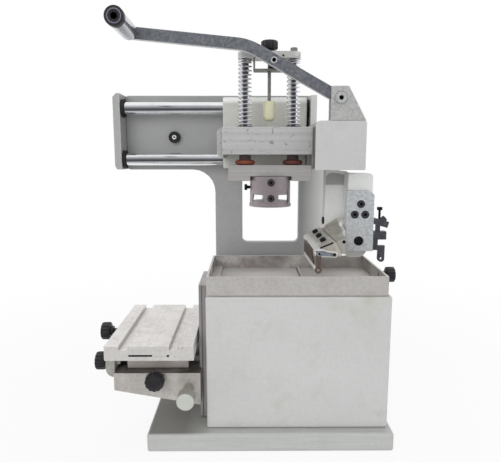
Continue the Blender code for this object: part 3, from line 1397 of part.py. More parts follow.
def make_side(carriage_joint):
    """The side cover, the lever bracket on it, and the arm and blocks of the scraper unit."""
    cover_x = (COVER_LEFT, COVER_RIGHT)
    cover = slab(
        "side_cover",
        rounded([
            (COVER_LEFT, COVER_BOTTOM),
            (COVER_RIGHT, COVER_BOTTOM),
            (COVER_RIGHT, COVER_TOP, COVER_ROUND / 2),
            (COVER_LEFT, COVER_TOP, COVER_ROUND),
        ]),
        (COVER_FRONT, COVER_BACK), GREY_PAINT,
    )
    inside_x = (cover_x[0] + COVER_WALL, cover_x[1] - COVER_WALL)
    inside_y = (COVER_FRONT + COVER_WALL, COVER_BACK - COVER_WALL)
    inside_top = COVER_TOP - COVER_WALL
    hollow = slab(
        "cover_hollow",
        rounded([
            (inside_x[0], COVER_BOTTOM - OVERRUN),
            (inside_x[1], COVER_BOTTOM - OVERRUN),
            (inside_x[1], inside_top),
            (inside_x[0], inside_top, COVER_ROUND - COVER_WALL),
        ]),
        inside_y,
    )
    cut(cover, hollow)
    fork = slab(
        "lever_bracket",
        [
            (FORK_LEFT, FORK_BOTTOM), (FORK_FOOT_RIGHT, FORK_BOTTOM),
            (FORK_TOP_RIGHT, FORK_TOP), (FORK_LEFT, FORK_TOP),
        ],
        (FORK_FRONT, FORK_BACK), ZINC_PLATE,
    )
    lever_middle = LEVER_FRONT + LEVER_THICK / 2
    slot = block(
        "fork_slot", (FORK_LEFT - OVERRUN, FORK_FOOT_RIGHT + OVERRUN),
        around(lever_middle, FORK_SLOT), (FORK_BOTTOM + FORK_FLOOR, FORK_TOP + OVERRUN),
    )
    pin_bore = rod(
        "fork_bore", (PIVOT_X, FORK_FRONT - OVERRUN, PIVOT_Z),
        (PIVOT_X, FORK_BACK + OVERRUN, PIVOT_Z), PIVOT_PIN_RADIUS + GAP,
    )
    cut(fork, slot, pin_bore)
    pin_length = FORK_DEPTH + GAP
    pin = turned(
        "lever_pivot_pin", (PIVOT_X, FORK_BACK, PIVOT_Z), (0, -1, 0),
        [
            (0, pin_length + PIVOT_HEAD_LENGTH),
            (PIVOT_HEAD_RADIUS, pin_length + PIVOT_HEAD_LENGTH),
            (PIVOT_HEAD_RADIUS, pin_length),
            (PIVOT_PIN_RADIUS, pin_length),
            (PIVOT_PIN_RADIUS, 0),
            (0, 0),
        ],
        ZINC_PLATE, SMALL_SIDES,
    )
    arm = slab(
        "scraper_arm",
        rounded([
            (ARM_LEFT, ARM_HEAD_BOTTOM + OVERRUN),
            (ARM_LEFT, ARM_LEFT_BOTTOM),
            (ARM_FOOT_LEFT, ARM_LEFT_BOTTOM),
            (ARM_FOOT_LEFT, ARM_FOOT_BOTTOM),
            (ARM_FOOT_RIGHT, ARM_FOOT_BOTTOM),
            (ARM_FOOT_RIGHT, ARM_FOOT_TOP),
            (ARM_LEFT + ARM_WIDTH, ARM_FOOT_TOP),
            (ARM_LEFT + ARM_WIDTH, ARM_SHOULDER, CAM_ROUND),
            (ARM_LEFT + ARM_NECK_WIDTH, ARM_SHOULDER),
            (ARM_LEFT + ARM_NECK_WIDTH, ARM_HEAD_BOTTOM + OVERRUN),
        ]),
        (ARM_FRONT, ARM_BACK), GREY_PAINT,
    )
    arm_head = slab(
        "arm_head",
        rounded([
            (inside_x[0] + GAP, ARM_HEAD_BOTTOM),
            (inside_x[1] - GAP, ARM_HEAD_BOTTOM),
            (inside_x[1] - GAP, inside_top - GAP),
            (inside_x[0] + GAP, inside_top - GAP, COVER_ROUND - COVER_WALL),
        ]),
        (inside_y[0] + ARM_HEAD_FRONT_INSET, ARM_BACK),
    )
    join(arm, arm_head)
    shaft_bore = rod(
        "scraper_shaft_bore", (SHAFT_X, BLOCK_FRONT - OVERRUN, SHAFT_Z),
        (SHAFT_X, ARM_BACK + OVERRUN, SHAFT_Z), SHAFT_RADIUS + GAP,
    )
    cut(arm, shaft_bore)
    cam_right = CAM_LEFT + CAM_WIDTH
    cam_top = CAM_BOTTOM + CAM_HEIGHT
    cam = slab(
        "cam_housing",
        rounded([
            (CAM_LEFT, CAM_BOTTOM), (cam_right, CAM_BOTTOM),
            (cam_right, cam_top, CAM_ROUND), (CAM_LEFT, cam_top),
        ]),
        (CAM_FRONT, CAM_BACK), GREY_PAINT,
    )
    block_top = BLOCK_BOTTOM + BLOCK_HEIGHT
    scraper_block = slab(
        "scraper_block",
        [
            (BLOCK_LEFT, BLOCK_BOTTOM), (BLOCK_RIGHT, BLOCK_BOTTOM),
            (BLOCK_RIGHT, block_top - BLOCK_CHAMFER), (BLOCK_RIGHT - BLOCK_CHAMFER, block_top),
            (BLOCK_LEFT, block_top),
        ],
        (BLOCK_FRONT, BLOCK_BACK), ZINC_PLATE,
    )
    cut(scraper_block, shaft_bore)
    shaft = rod(
        "scraper_shaft", (SHAFT_X, BLOCK_FRONT - SHAFT_FRONT_OUT, SHAFT_Z),
        (SHAFT_X, ARM_BACK, SHAFT_Z), SHAFT_RADIUS, DARK_STEEL,
    )
    hang(
        carriage_joint, cover, fork, pin, arm, cam, scraper_block, shaft, *make_adjuster()
    )


def make_adjuster():
    """The black adjuster on the block's right side: clamp, bolt and hooked link."""
    left = BLOCK_RIGHT + GAP
    depth = (ADJUSTER_FRONT, ADJUSTER_FRONT + ADJUSTER_DEPTH)
    middle = ADJUSTER_FRONT + ADJUSTER_DEPTH / 2
    top = ADJUSTER_BOTTOM + ADJUSTER_BLOCK_HEIGHT
    clamp = block(
        "adjuster_clamp", (left, left + ADJUSTER_WIDTH), depth, (ADJUSTER_BOTTOM, top), DARK_STEEL
    )
    post = block(
        "adjuster_post", (ADJUSTER_POST_LEFT, ADJUSTER_POST_LEFT + ADJUSTER_POST_WIDTH),
        around(middle, ADJUSTER_POST_WIDTH), (top - OVERRUN, JAW_Z),
    )
    jaw = block(
        "adjuster_jaw", around(JAW_X, JAW_LENGTH), around(middle, JAW_DEPTH),
        around(JAW_Z, JAW_HEIGHT),
    )
    jaw.rotation_euler = (0, JAW_TILT, 0)
    join(clamp, post, jaw)
    bolt_low = BOLT_TOP - BOLT_HEAD_LENGTH - BOLT_LENGTH
    bolt_bore = rod(
        "bolt_bore", (BOLT_X, middle, bolt_low - GAP), (BOLT_X, middle, BOLT_TOP),
        BOLT_RADIUS + GAP, sides=SMALL_SIDES,
    )
    cut(clamp, bolt_bore)
    bolt_head = BOLT_LENGTH + BOLT_HEAD_LENGTH
    bolt = turned(
        "adjuster_bolt", (BOLT_X, middle, bolt_low), (0, 0, 1),
        [
            (0, bolt_head), (BOLT_HEAD_RADIUS, bolt_head), (BOLT_HEAD_RADIUS, BOLT_LENGTH),
            (BOLT_RADIUS, BOLT_LENGTH), (BOLT_RADIUS, 0), (0, 0),
        ],
        DARK_STEEL, SMALL_SIDES,
    )
    stem_right = LINK_STEM_LEFT + LINK_STEM_WIDTH
    eye_left = LINK_EYE_X - LINK_EYE_RADIUS
    eye_right = LINK_EYE_X + LINK_EYE_RADIUS
    bar_bottom = LINK_BAR_TOP - LINK_BAR_HEIGHT
    eye_bottom = LINK_EYE_Z - LINK_EYE_RADIUS
    link_top = ADJUSTER_BOTTOM - GAP
    link = slab(
        "hooked_link",
        rounded([
            (LINK_STEM_LEFT, link_top),
            (LINK_STEM_LEFT, LINK_BAR_TOP),
            (left, LINK_BAR_TOP),
            (left, bar_bottom),
            (eye_left, bar_bottom),
            (eye_left, eye_bottom, LINK_EYE_RADIUS - GAP),
            (eye_right, eye_bottom, LINK_EYE_RADIUS - GAP),
            (eye_right, LINK_BAR_TOP),
            (stem_right, LINK_BAR_TOP),
            (stem_right, link_top),
        ]),
        around(middle, LINK_DEPTH), DARK_STEEL,
    )
    eye = rod(
        "link_eye", (LINK_EYE_X, depth[0], LINK_EYE_Z), (LINK_EYE_X, depth[1], LINK_EYE_Z),
        LINK_HOLE_RADIUS, sides=SMALL_SIDES,
    )
    cut(link, eye)
    return [clamp, bolt, link]


def make_lever(carriage_joint):
    """The hand lever with its grip, and the roller that presses on the bail."""
    path = [
        (LEVER_END_X - LEVER_END_PAST_GRIP, LEVER_END_Z),
        *bend(
            (LEVER_END_X, LEVER_END_Z), (LEVER_BEND_X, LEVER_BEND_Z), (PIVOT_X, PIVOT_Z),
            LEVER_BEND_RADIUS, 2 * CORNER_STEPS,
        ),
        (PIVOT_X, PIVOT_Z),
    ]
    lever = slab("lever_bar", strap(path, LEVER_HEIGHT), (LEVER_FRONT, LEVER_BACK), ZINC_PLATE)
    pivot_hole = rod(
        "lever_hole", (PIVOT_X, LEVER_FRONT - OVERRUN, PIVOT_Z),
        (PIVOT_X, LEVER_BACK + OVERRUN, PIVOT_Z), PIVOT_PIN_RADIUS + GAP,
    )
    roller_hole = rod(
        "roller_pin_hole", (ROLLER_X, LEVER_FRONT - OVERRUN, ROLLER_Z),
        (ROLLER_X, LEVER_BACK + OVERRUN, ROLLER_Z), ROLLER_PIN_RADIUS + GAP,
    )
    cut(lever, pivot_hole, roller_hole)
    grip_back = LEVER_FRONT - GAP
    grip_front = grip_back - GRIP_LENGTH
    edge = GRIP_RADIUS / 6
    grip = turned(
        "lever_grip", (LEVER_END_X, grip_back, LEVER_END_Z), (0, -1, 0),
        [
            (0, GRIP_LENGTH),
            (GRIP_RADIUS, GRIP_LENGTH),
            (GRIP_RADIUS, edge),
            (GRIP_RADIUS - edge, 0),
            (0, 0),
        ],
        ZINC_PLATE,
    )
    cap_edge = GRIP_CAP_RADIUS / 4
    cap = turned(
        "grip_cap", (LEVER_END_X, grip_front - GAP, LEVER_END_Z), (0, -1, 0),
        [
            (0, GRIP_CAP_LENGTH),
            (GRIP_CAP_RADIUS - cap_edge, GRIP_CAP_LENGTH),
            (GRIP_CAP_RADIUS, GRIP_CAP_LENGTH - cap_edge),
            (GRIP_CAP_RADIUS, 0),
            (0, 0),
        ],
        BLACK_PLASTIC,
    )
    pin_back = ROLLER_FRONT + ROLLER_LENGTH
    pin_length = pin_back - LEVER_FRONT + GAP
    roller_pin = turned(
        "roller_pin", (ROLLER_X, pin_back, ROLLER_Z), (0, -1, 0),
        [
            (0, pin_length + ROLLER_PIN_HEAD_LENGTH),
            (ROLLER_PIN_HEAD_RADIUS, pin_length + ROLLER_PIN_HEAD_LENGTH),
            (ROLLER_PIN_HEAD_RADIUS, pin_length),
            (ROLLER_PIN_RADIUS, pin_length),
            (ROLLER_PIN_RADIUS, 0),
            (0, 0),
        ],
        ZINC_PLATE, SMALL_SIDES,
    )
    lever_joint = pivot("lever_joint", (PIVOT_X, LEVER_FRONT, PIVOT_Z), carriage_joint)
    hang(lever_joint, lever, grip, cap, roller_pin)
    roller = ring(
        "bail_roller", (ROLLER_X, pin_back, ROLLER_Z), (0, -1, 0),
        ROLLER_PIN_RADIUS + GAP, ROLLER_RADIUS, ROLLER_LENGTH, material=DARK_STEEL,
    )
    hang(pivot("roller_axis", (ROLLER_X, ROLLER_FRONT, ROLLER_Z), lever_joint), roller)


def from_shaft(*corners):
    """Outline corners given from the scraper shaft, moved to their place on the machine."""
    return [(SHAFT_X + c[0], SHAFT_Z + c[1], *c[2:]) for c in corners]


def make_scraper(carriage_joint):
    """The scraper that swings on its shaft: carrier, blade clamp, blade and end strip."""
    carrier = slab(
        "scraper_carrier",
        rounded(from_shaft(
            (CARRIER_WEB_LEFT, CARRIER_WEB_TOP),
            (CARRIER_HUB_LEFT, CARRIER_WEB_TOP),
            (CARRIER_HUB_LEFT, CARRIER_TOP, CARRIER_CORNER),
            (CARRIER_RIGHT, CARRIER_TOP, CARRIER_ROUND),
            (CARRIER_RIGHT, CARRIER_BOTTOM, CARRIER_ROUND),
            (CARRIER_HEEL, CARRIER_BOTTOM, CARRIER_CORNER),
            (CARRIER_WEB_LEFT, CARRIER_WEB_BOTTOM),
        )),
        (BLOCK_BACK + GAP, ARM_FRONT - GAP), CAST_ALUMINIUM,
    )
    top_slope = (CLAMP_PEAK_TOP - CLAMP_LEFT_TOP) / (CLAMP_PEAK - CLAMP_LEFT)
    plate_top = CLAMP_SEAM_TOP + (CARRIER_PLATE_RIGHT - CLAMP_SEAM) * top_slope
    clamp_y = (CLAMP_FRONT, CLAMP_FRONT + CLAMP_LENGTH)
    carrier_plate = slab(
        "carrier_plate",
        from_shaft(
            (CLAMP_SEAM + GAP, CLAMP_SEAM_TOP), (CARRIER_PLATE_RIGHT, plate_top),
            (CARRIER_PLATE_RIGHT, CLAMP_RIGHT_TOP), (CLAMP_RIGHT + GAP, CLAMP_RIGHT_TOP),
        ),
        clamp_y,
    )
    join(carrier, carrier_plate)
    bore = rod(
        "carrier_bore", (SHAFT_X, BLOCK_BACK, SHAFT_Z), (SHAFT_X, ARM_FRONT, SHAFT_Z),
        SHAFT_RADIUS + GAP,
    )
    cut(carrier, bore)
    clamp = slab(
        "blade_clamp",
        rounded(from_shaft(
            (CLAMP_LEFT, CLAMP_LEFT_TOP, CLAMP_CORNER / 2),
            (CLAMP_PEAK, CLAMP_PEAK_TOP, CLAMP_CORNER),
            (CLAMP_SEAM, CLAMP_SEAM_TOP),
            (CLAMP_RIGHT, CLAMP_RIGHT_TOP),
            (CLAMP_RIGHT - CLAMP_BEVEL, CLAMP_BOTTOM),
            (CLAMP_LEFT + CLAMP_BEVEL, CLAMP_BOTTOM),
            (CLAMP_LEFT, CLAMP_BOTTOM + CLAMP_BEVEL),
        )),
        clamp_y, CAST_ALUMINIUM,
    )
    blade_right = SHAFT_X + CLAMP_LEFT - GAP
    blade_top = SHAFT_Z + BLADE_TOP
    blade = block(
        "doctor_blade", (blade_right - BLADE_THICK, blade_right),
        (BLADE_FRONT, BLADE_FRONT + BLADE_LENGTH), (blade_top - BLADE_HEIGHT, blade_top), INKED_STEEL,
    )
    strip_x = SHAFT_X + CLAMP_LEFT + STRIP_MIDDLE_INSET
    strip_top = SHAFT_Z + STRIP_TOP
    eye_z = strip_top - STRIP_LENGTH + STRIP_EYE_RADIUS
    half = STRIP_WIDTH / 2
    shank_angle = acos(half / STRIP_EYE_RADIUS)
    eye_steps = 4 * CORNER_STEPS
    eye_angles = [pi - shank_angle + (pi + 2 * shank_angle) * i / eye_steps for i in range(eye_steps + 1)]
    eye_points = [
        (strip_x + STRIP_EYE_RADIUS * cos(a), eye_z + STRIP_EYE_RADIUS * sin(a)) for a in eye_angles
    ]
    strip_back = CLAMP_FRONT - GAP
    strip = slab(
        "end_strip",
        [(strip_x - half, strip_top), *eye_points, (strip_x + half, strip_top)],
        (strip_back - STRIP_THICK, strip_back), INKED_STEEL,
    )
    eye = rod(
        "strip_eye", (strip_x, strip_back - STRIP_THICK - OVERRUN, eye_z),
        (strip_x, strip_back + OVERRUN, eye_z), STRIP_HOLE_RADIUS, sides=SMALL_SIDES,
    )
    cut(strip, eye)
    scraper_joint = pivot("scraper_joint", (SHAFT_X, BLOCK_BACK, SHAFT_Z), carriage_joint)
    hang(scraper_joint, carrier, clamp, blade, strip)


make_base()
make_tray()
make_back()
stage_joint = make_knee()
make_stage(stage_joint)
travel_joint = make_carriage()
make_press(travel_joint)
make_side(travel_joint)
make_lever(travel_joint)
make_scraper(travel_joint)

arm_length = hypot(PIVOT_X - ROLLER_X, PIVOT_Z - ROLLER_Z)
print("lever pivot to roller in mm", round(arm_length * 1000, 2))
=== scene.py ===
# %% [markdown]
# # Dressing a pad printing machine
# A pad printing machine presses a soft silicone pad on an inked plate and then on the work.
# This one is worked by hand: a lever drives the head down, a carriage slides sideways on two rods,
# and a blade scrapes the ink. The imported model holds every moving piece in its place. This lesson
# adds what the model lacks: finishes, rounded edges, coil springs, fluted knobs and screws.

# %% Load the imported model
from math import cos, pi, radians, sin

import bmesh
import bpy
from mathutils import Matrix, Vector


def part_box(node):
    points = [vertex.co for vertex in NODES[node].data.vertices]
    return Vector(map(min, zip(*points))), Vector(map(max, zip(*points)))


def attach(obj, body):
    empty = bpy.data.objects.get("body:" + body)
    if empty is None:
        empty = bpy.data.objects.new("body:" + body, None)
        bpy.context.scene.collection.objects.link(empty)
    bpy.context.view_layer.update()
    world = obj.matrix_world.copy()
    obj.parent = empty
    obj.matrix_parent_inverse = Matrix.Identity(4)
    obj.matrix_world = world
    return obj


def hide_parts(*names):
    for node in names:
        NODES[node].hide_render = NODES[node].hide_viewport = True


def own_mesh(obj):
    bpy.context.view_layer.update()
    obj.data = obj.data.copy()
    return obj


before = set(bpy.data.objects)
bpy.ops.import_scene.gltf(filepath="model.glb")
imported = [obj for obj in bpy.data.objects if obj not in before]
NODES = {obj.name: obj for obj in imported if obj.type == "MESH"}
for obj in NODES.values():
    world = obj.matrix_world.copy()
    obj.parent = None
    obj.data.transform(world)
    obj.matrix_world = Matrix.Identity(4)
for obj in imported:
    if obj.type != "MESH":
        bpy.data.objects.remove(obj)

SCENE = bpy.context.scene
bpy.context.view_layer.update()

# %% [markdown]
# ## The camera
# The camera stands where the photographer stood, a little left of the middle and slightly above
# the springs, and looks down by under nine degrees. Guessing a lens by eye takes many tries. Here
# the place was solved from pieces whose height and depth are known, such as the base and the rods.

# %% Camera
CAMERA_PLACE = (-0.0337, -0.765, 0.420)
CAMERA_TILT_DOWN = radians(8.75)
CAMERA_TURN_RIGHT = radians(0.36)
SENSOR_WIDTH = 36
FOCAL_LENGTH = 34.56

camera_data = bpy.data.cameras.new("studio_camera")
camera_data.sensor_width = SENSOR_WIDTH
camera_data.lens = FOCAL_LENGTH
camera = bpy.data.objects.new("studio_camera", camera_data)
camera.location = CAMERA_PLACE
camera.rotation_euler = (pi / 2 - CAMERA_TILT_DOWN, 0, -CAMERA_TURN_RIGHT)
SCENE.collection.objects.link(camera)
SCENE.camera = camera
print("camera looks along", [round(v, 3) for v in camera.rotation_euler.to_matrix() @ Vector((0, 0, -1))])

# %% [markdown]
# ## Small helpers for nodes
# A finish is a small graph of nodes. Writing each node by hand makes long code, so one helper adds
# a node and sets or links its inputs in one call, and the others build on it. Sizes in the
# patterns are real sizes: the objects sit at the origin, so object coordinates are metres on the
# machine.

# %% Node helpers
def srgb(red, green, blue):
    """A colour read as 0 to 255 on a screen, as the linear colour a shader wants."""
    parts = []
    for value in (red, green, blue):
        share = value / 255
        parts.append(share / 12.92 if share <= 0.04045 else ((share + 0.055) / 1.055) ** 2.4)
    return (*parts, 1)


def shade(tone, factor):
    """The same tone, darker for a factor below 1 and lighter for one above it."""
    return (*(min(1.0, value * factor) for value in tone[:3]), 1)


def feed(tree, socket, value):
    """Give an input a plain value, or link another node's output to it."""
    if isinstance(value, bpy.types.NodeSocket):
        tree.links.new(value, socket)
    else:
        socket.default_value = value


def put(tree, kind, settings=None, **inputs):
    """Add a node. Its inputs go by their names, or by their places, as in _0 for the first."""
    node = tree.nodes.new("ShaderNode" + kind)
    for name, value in (settings or {}).items():
        setattr(node, name, value)
    for name, value in inputs.items():
        feed(tree, node.inputs[int(name[1:]) if name[0] == "_" else name.replace("_", " ")], value)
    return node


def maths(tree, operation, first, second=0.0):
    """One sum on one or two values. The result stays between 0 and 1."""
    return put(tree, "Math", {"operation": operation, "use_clamp": True}, _0=first, _1=second).outputs[0]


def times(tree, first, *others):
    """Patterns multiplied: what is left shows only where all of them do."""
    for other in others:
        first = maths(tree, "MULTIPLY", first, other)
    return first


def spread(tree, value, low, high, to_low=0.0, to_high=1.0):
    """Stretch the part of a pattern between low and high over a new range."""
    return put(tree, "MapRange", _0=value, _1=low, _2=high, _3=to_low, _4=to_high).outputs[0]


def blend_to(tree, pattern, low, high):
    """A value that runs from low to high as the pattern runs from 0 to 1."""
    return spread(tree, pattern, 0.0, 1.0, low, high)


print("white is", srgb(255, 255, 255))

# %% [markdown]
# Patterns decide where a tone or a mark lies. Noise gives clouds and specks, and a Voronoi texture
# gives crystals and cracks. No pattern is painted by hand, so each works at any size.

# %% Patterns
def drawn_out(axis, share):
    """The stretch that draws a pattern out into streaks along one axis."""
    return tuple(share if letter == axis else 1.0 for letter in "xyz")


def steps_of(tree, size, stretch=(1, 1, 1), shift=0.0):
    """Where a point lies, counted in steps of size metres, longer along an axis given below 1."""
    place = put(tree, "TexCoord").outputs["Object"]
    scale = tuple(value / size for value in stretch)
    return put(tree, "Mapping", Vector=place, Scale=scale, Location=(shift,) * 3).outputs[0]


def noise(tree, size, detail=3.0, stretch=(1, 1, 1), rough=0.55, shift=0.0):
    """Soft random patches about size metres across."""
    place = steps_of(tree, size, stretch, shift)
    return put(tree, "TexNoise", Vector=place, Scale=1.0, Detail=detail, Roughness=rough).outputs[0]


def patches(tree, size, low, high, detail=3.0, **how):
    """Noise with more contrast: nothing below low and everything above high."""
    return spread(tree, noise(tree, size, detail, **how), low, high)


def cells(tree, size, output, stretch=(1, 1, 1), feature="F1"):
    """Crystal-like cells about size metres across."""
    place = steps_of(tree, size, stretch)
    return put(tree, "TexVoronoi", {"feature": feature}, Vector=place, Scale=1.0).outputs[output]


def mix(tree, share, first, second):
    """Two colours laid over each other; share is how much of the second shows."""
    return put(tree, "Mix", {"data_type": "RGBA"}, _0=share, _6=first, _7=second).outputs[2]


print("patterns:", noise.__name__, patches.__name__, cells.__name__)

# %% [markdown]
# Wear, dirt and painted light follow the shape. Rims get rubbed bright and carry a painted
# highlight, corners keep their dirt and a painted shade, oil, painted shadow and painted light lie
# on the faces that look up, and some marks are only on one part of a piece. These patterns read
# the shape, so they stay right when a piece changes.

# %% Patterns from the shape
def along(tree, axis):
    """How far along one axis of the machine a point lies, in metres."""
    return put(tree, "SeparateXYZ", Vector=put(tree, "TexCoord").outputs["Object"]).outputs[axis.upper()]


def steepness(tree):
    """1 on faces that look straight up, 0 on walls and -1 on undersides."""
    normal = put(tree, "NewGeometry").outputs["True Normal"]
    return put(tree, "SeparateXYZ", Vector=normal).outputs["Z"]


def upward(tree):
    """1 on faces that look up and 0 on walls: oil lies there, and painted shadow and painted light are laid
    there.
    """
    return spread(tree, steepness(tree), 0.6, 0.95)


def edges(tree, radius=0.0008):
    """1 where the surface turns a corner, 0 where it is flat: paint and plating wear there, and a pale tone
    there also paints the highlight of a rounded edge.
    """
    soft = put(tree, "Bevel", {"samples": 4}, Radius=radius).outputs[0]
    sharp = put(tree, "NewGeometry").outputs["Normal"]
    agreement = put(tree, "VectorMath", {"operation": "DOT_PRODUCT"}, _0=soft, _1=sharp).outputs["Value"]
    return spread(tree, agreement, 0.97, 0.75)


def dirt_and_painted_shade(tree, reach=0.012):
    """1 deep in corners, 0 on open faces. A dark tone laid there is partly soiling and partly painted shade.
    """
    open_share = put(tree, "AmbientOcclusion", {"samples": 6}, Distance=reach).outputs["AO"]
    return spread(tree, open_share, 0.75, 0.2)


print("patterns from the shape:", along.__name__, upward.__name__, edges.__name__, dirt_and_painted_shade.__name__)

# %% [markdown]
# A real surface has a history: first its own tone, then blotches, dirt and worn edges. Some coats
# here also paint light and shade: shade in corners and highlights on edges. One big graph for all of
# that is hard to read. So a finish is made in coats here. Each coat lays a tone over what is there
# already, where a pattern shows and as strongly as its share says.

# %% A finish in coats
class Finish:
    """A material in the making, and the colour that its coats have given it so far."""

    def __init__(self, name, tone, roughness, metallic=0.0):
        self.material = bpy.data.materials.new(name)
        self.material.use_nodes = True
        self.material.diffuse_color = tone
        self.tree = self.material.node_tree
        self.shader = self.tree.nodes["Principled BSDF"]
        self.colour = tone
        for socket, value in (("Base Color", tone), ("Roughness", roughness), ("Metallic", metallic)):
            self.shader.inputs[socket].default_value = value

    def coat(self, tone, pattern, *shares):
        """Lay a tone over the colour where the pattern shows, weakened by each share."""
        self.colour = mix(self.tree, times(self.tree, pattern, *shares), self.colour, tone)

    def done(self, roughness, relief, depth):
        """Link the colour, the roughness and a relief that is depth metres high."""
        normal = put(self.tree, "Bump", Height=relief, Strength=1.0, Distance=depth).outputs[0]
        for socket, value in (("Base Color", self.colour), ("Roughness", roughness), ("Normal", normal)):
            feed(self.tree, self.shader.inputs[socket], value)
        return self.material

    def show(self, node):
        """Let another node be the whole surface."""
        self.tree.links.new(node.outputs[0], self.tree.nodes["Material Output"].inputs["Surface"])


print("finishes are made by", Finish.__name__)

# %% [markdown]
# ## Floor, light and background
# The photograph is a cut-out on white, under soft light from the front. A big lamp makes soft
# shading, and the sky fills the shadows. To the camera, mirrors and glass, the sky is plain
# white. The floor blends its own lit colour, which carries the shadow, with the same white, and
# turns fully white away from the machine, so that no line shows where it ends.

# %% Floor
FLOOR_HALF = 6.0
FLOOR_DROP = 0.0005
FLOOR_NEAR, FLOOR_FAR = 0.3, 1.1
WHITENESS_NEAR = 0.88
WHITE = (1, 1, 1, 1)


def white_ray(tree):
    """1 for rays from the camera and for those that mirrors and glass send on."""
    rays = put(tree, "LightPath")
    glossy = maths(tree, "MAXIMUM", rays.outputs["Is Camera Ray"], rays.outputs["Is Glossy Ray"])
    return maths(tree, "MAXIMUM", glossy, rays.outputs["Is Transmission Ray"])


def length_of(tree, vector):
    """How far from the origin a point lies."""
    return put(tree, "VectorMath", {"operation": "LENGTH"}, _0=vector).outputs["Value"]


floor_mesh = bpy.data.meshes.new("floor")
floor_mesh.from_pydata(
    [(FLOOR_HALF * x, FLOOR_HALF * y, 0) for x, y in ((-1, -1), (1, -1), (1, 1), (-1, 1))],
    [], [(0, 1, 2, 3)],
)
floor = bpy.data.objects.new("floor", floor_mesh)
floor.location = (0, 0, -FLOOR_DROP)
SCENE.collection.objects.link(floor)

paper = Finish("floor_paper", srgb(240, 240, 240), 0.9)
distance = length_of(paper.tree, put(paper.tree, "TexCoord").outputs["Object"])
fade = spread(paper.tree, distance, FLOOR_NEAR, FLOOR_FAR, WHITENESS_NEAR, 1.0)
whiteness = times(paper.tree, white_ray(paper.tree), fade)
glow = put(paper.tree, "Emission", Color=WHITE, Strength=1.0).outputs[0]
paper.show(put(paper.tree, "MixShader", _0=whiteness, _1=paper.shader.outputs[0], _2=glow))
floor_mesh.materials.append(paper.material)
print("floor", 2 * FLOOR_HALF, "m wide")

# %% [markdown]
# The sky has two backgrounds. The white one is for the camera and for mirrors, and the weaker,
# slightly blue one lights the machine.

# %% Sky
SKY_FILL = 0.60

world = bpy.data.worlds.new("studio_sky")
world.use_nodes = True
SCENE.world = world
sky = world.node_tree
sky.nodes.clear()
seen = put(sky, "Background", Color=WHITE, Strength=1.0)
fill = put(sky, "Background", Color=(0.97, 0.985, 1, 1), Strength=SKY_FILL)
both = put(sky, "MixShader", _0=white_ray(sky), _1=fill.outputs[0], _2=seen.outputs[0])
put(sky, "OutputWorld", Surface=both.outputs[0])
print("sky at", SKY_FILL)

# %% [markdown]
# Four square lamps stand round the machine and point at its middle. The key lamp at the front left
# is the strongest of those in front, and the one behind lights the tops. Mirrors don't see them.

# %% Lamps
MIDDLE = (0.0, 0.0, 0.30)


def lamp(name, place, size, watts):
    """A square soft lamp at place that points at the machine's middle."""
    data = bpy.data.lights.new(name, "AREA")
    data.size = size
    data.energy = watts
    light = bpy.data.objects.new(name, data)
    light.location = place
    light.rotation_euler = (Vector(MIDDLE) - Vector(place)).to_track_quat("-Z", "Y").to_euler()
    light.visible_glossy = False
    SCENE.collection.objects.link(light)


SCENE.view_settings.view_transform = "Standard"
lamp("key_softbox", (-0.9, -1.7, 1.15), 1.0, 12)
lamp("front_softbox", (-0.1, -2.2, 0.45), 1.2, 5)
lamp("right_softbox", (1.5, -0.9, 0.7), 0.9, 5)
lamp("back_softbox", (0.5, 1.8, 1.5), 1.2, 9)

# %% [markdown]
# Chrome shows what is round it, and round this machine is only white. Product photographers bend a
# grey sheet round the front of the set, so that polished rods get dark bands with soft edges. This
# one is bent round the camera too. It is dark low down and paler towards its top and its sides,
# and on its foot close to the machine. Only mirror rays see it, so it casts no shade, and the
# lamps are hidden from mirrors for the same reason.

# %% A graded sheet for the chrome
SHEET_RADIUS = 0.95
SHEET_TOP = 1.9
SHEET_FOOT_RADIUS = 0.27
SHEET_LIFT = 0.001
SHEET_REACH = radians(80)
SHEET_STEPS = 24

sheet_grey = Finish("sheet_grey", (0.5, 0.5, 0.5, 1), 1.0)
tree = sheet_grey.tree
across = along(tree, "x")
out = length_of(tree, put(tree, "CombineXYZ", X=across, Y=along(tree, "y")).outputs[0])
upper = spread(tree, along(tree, "z"), 0.30, 1.35, 0.085, 0.70)
lower = spread(tree, out, 0.42, 0.56, 0.50, 0.0)
sides = spread(tree, maths(tree, "ABSOLUTE", across), 0.45, 0.90, 0.0, 0.6)
strength = maths(tree, "ADD", maths(tree, "ADD", upper, lower), sides)
sheet_grey.show(put(tree, "Emission", Color=(0.95, 0.975, 1, 1), Strength=strength))

corners = []
for step in range(SHEET_STEPS + 1):
    turn = SHEET_REACH * (2 * step / SHEET_STEPS - 1)
    for reach, height in (
        (SHEET_FOOT_RADIUS, SHEET_LIFT), (SHEET_RADIUS, SHEET_LIFT), (SHEET_RADIUS, SHEET_TOP),
    ):
        corners.append((reach * sin(turn), -reach * cos(turn), height))
strips = []
for step in range(SHEET_STEPS):
    for first in (3 * step, 3 * step + 1):
        strips.append((first, first + 3, first + 4, first + 1))
sheet_mesh = bpy.data.meshes.new("graded_sheet")
sheet_mesh.from_pydata(corners, [], strips)
sheet_mesh.materials.append(sheet_grey.material)
sheet = bpy.data.objects.new("graded_sheet", sheet_mesh)
SCENE.collection.objects.link(sheet)
sheet.visible_camera = False
sheet.visible_diffuse = False
sheet.visible_shadow = False
sheet.visible_transmission = False
print("sheet of", len(strips), "strips")
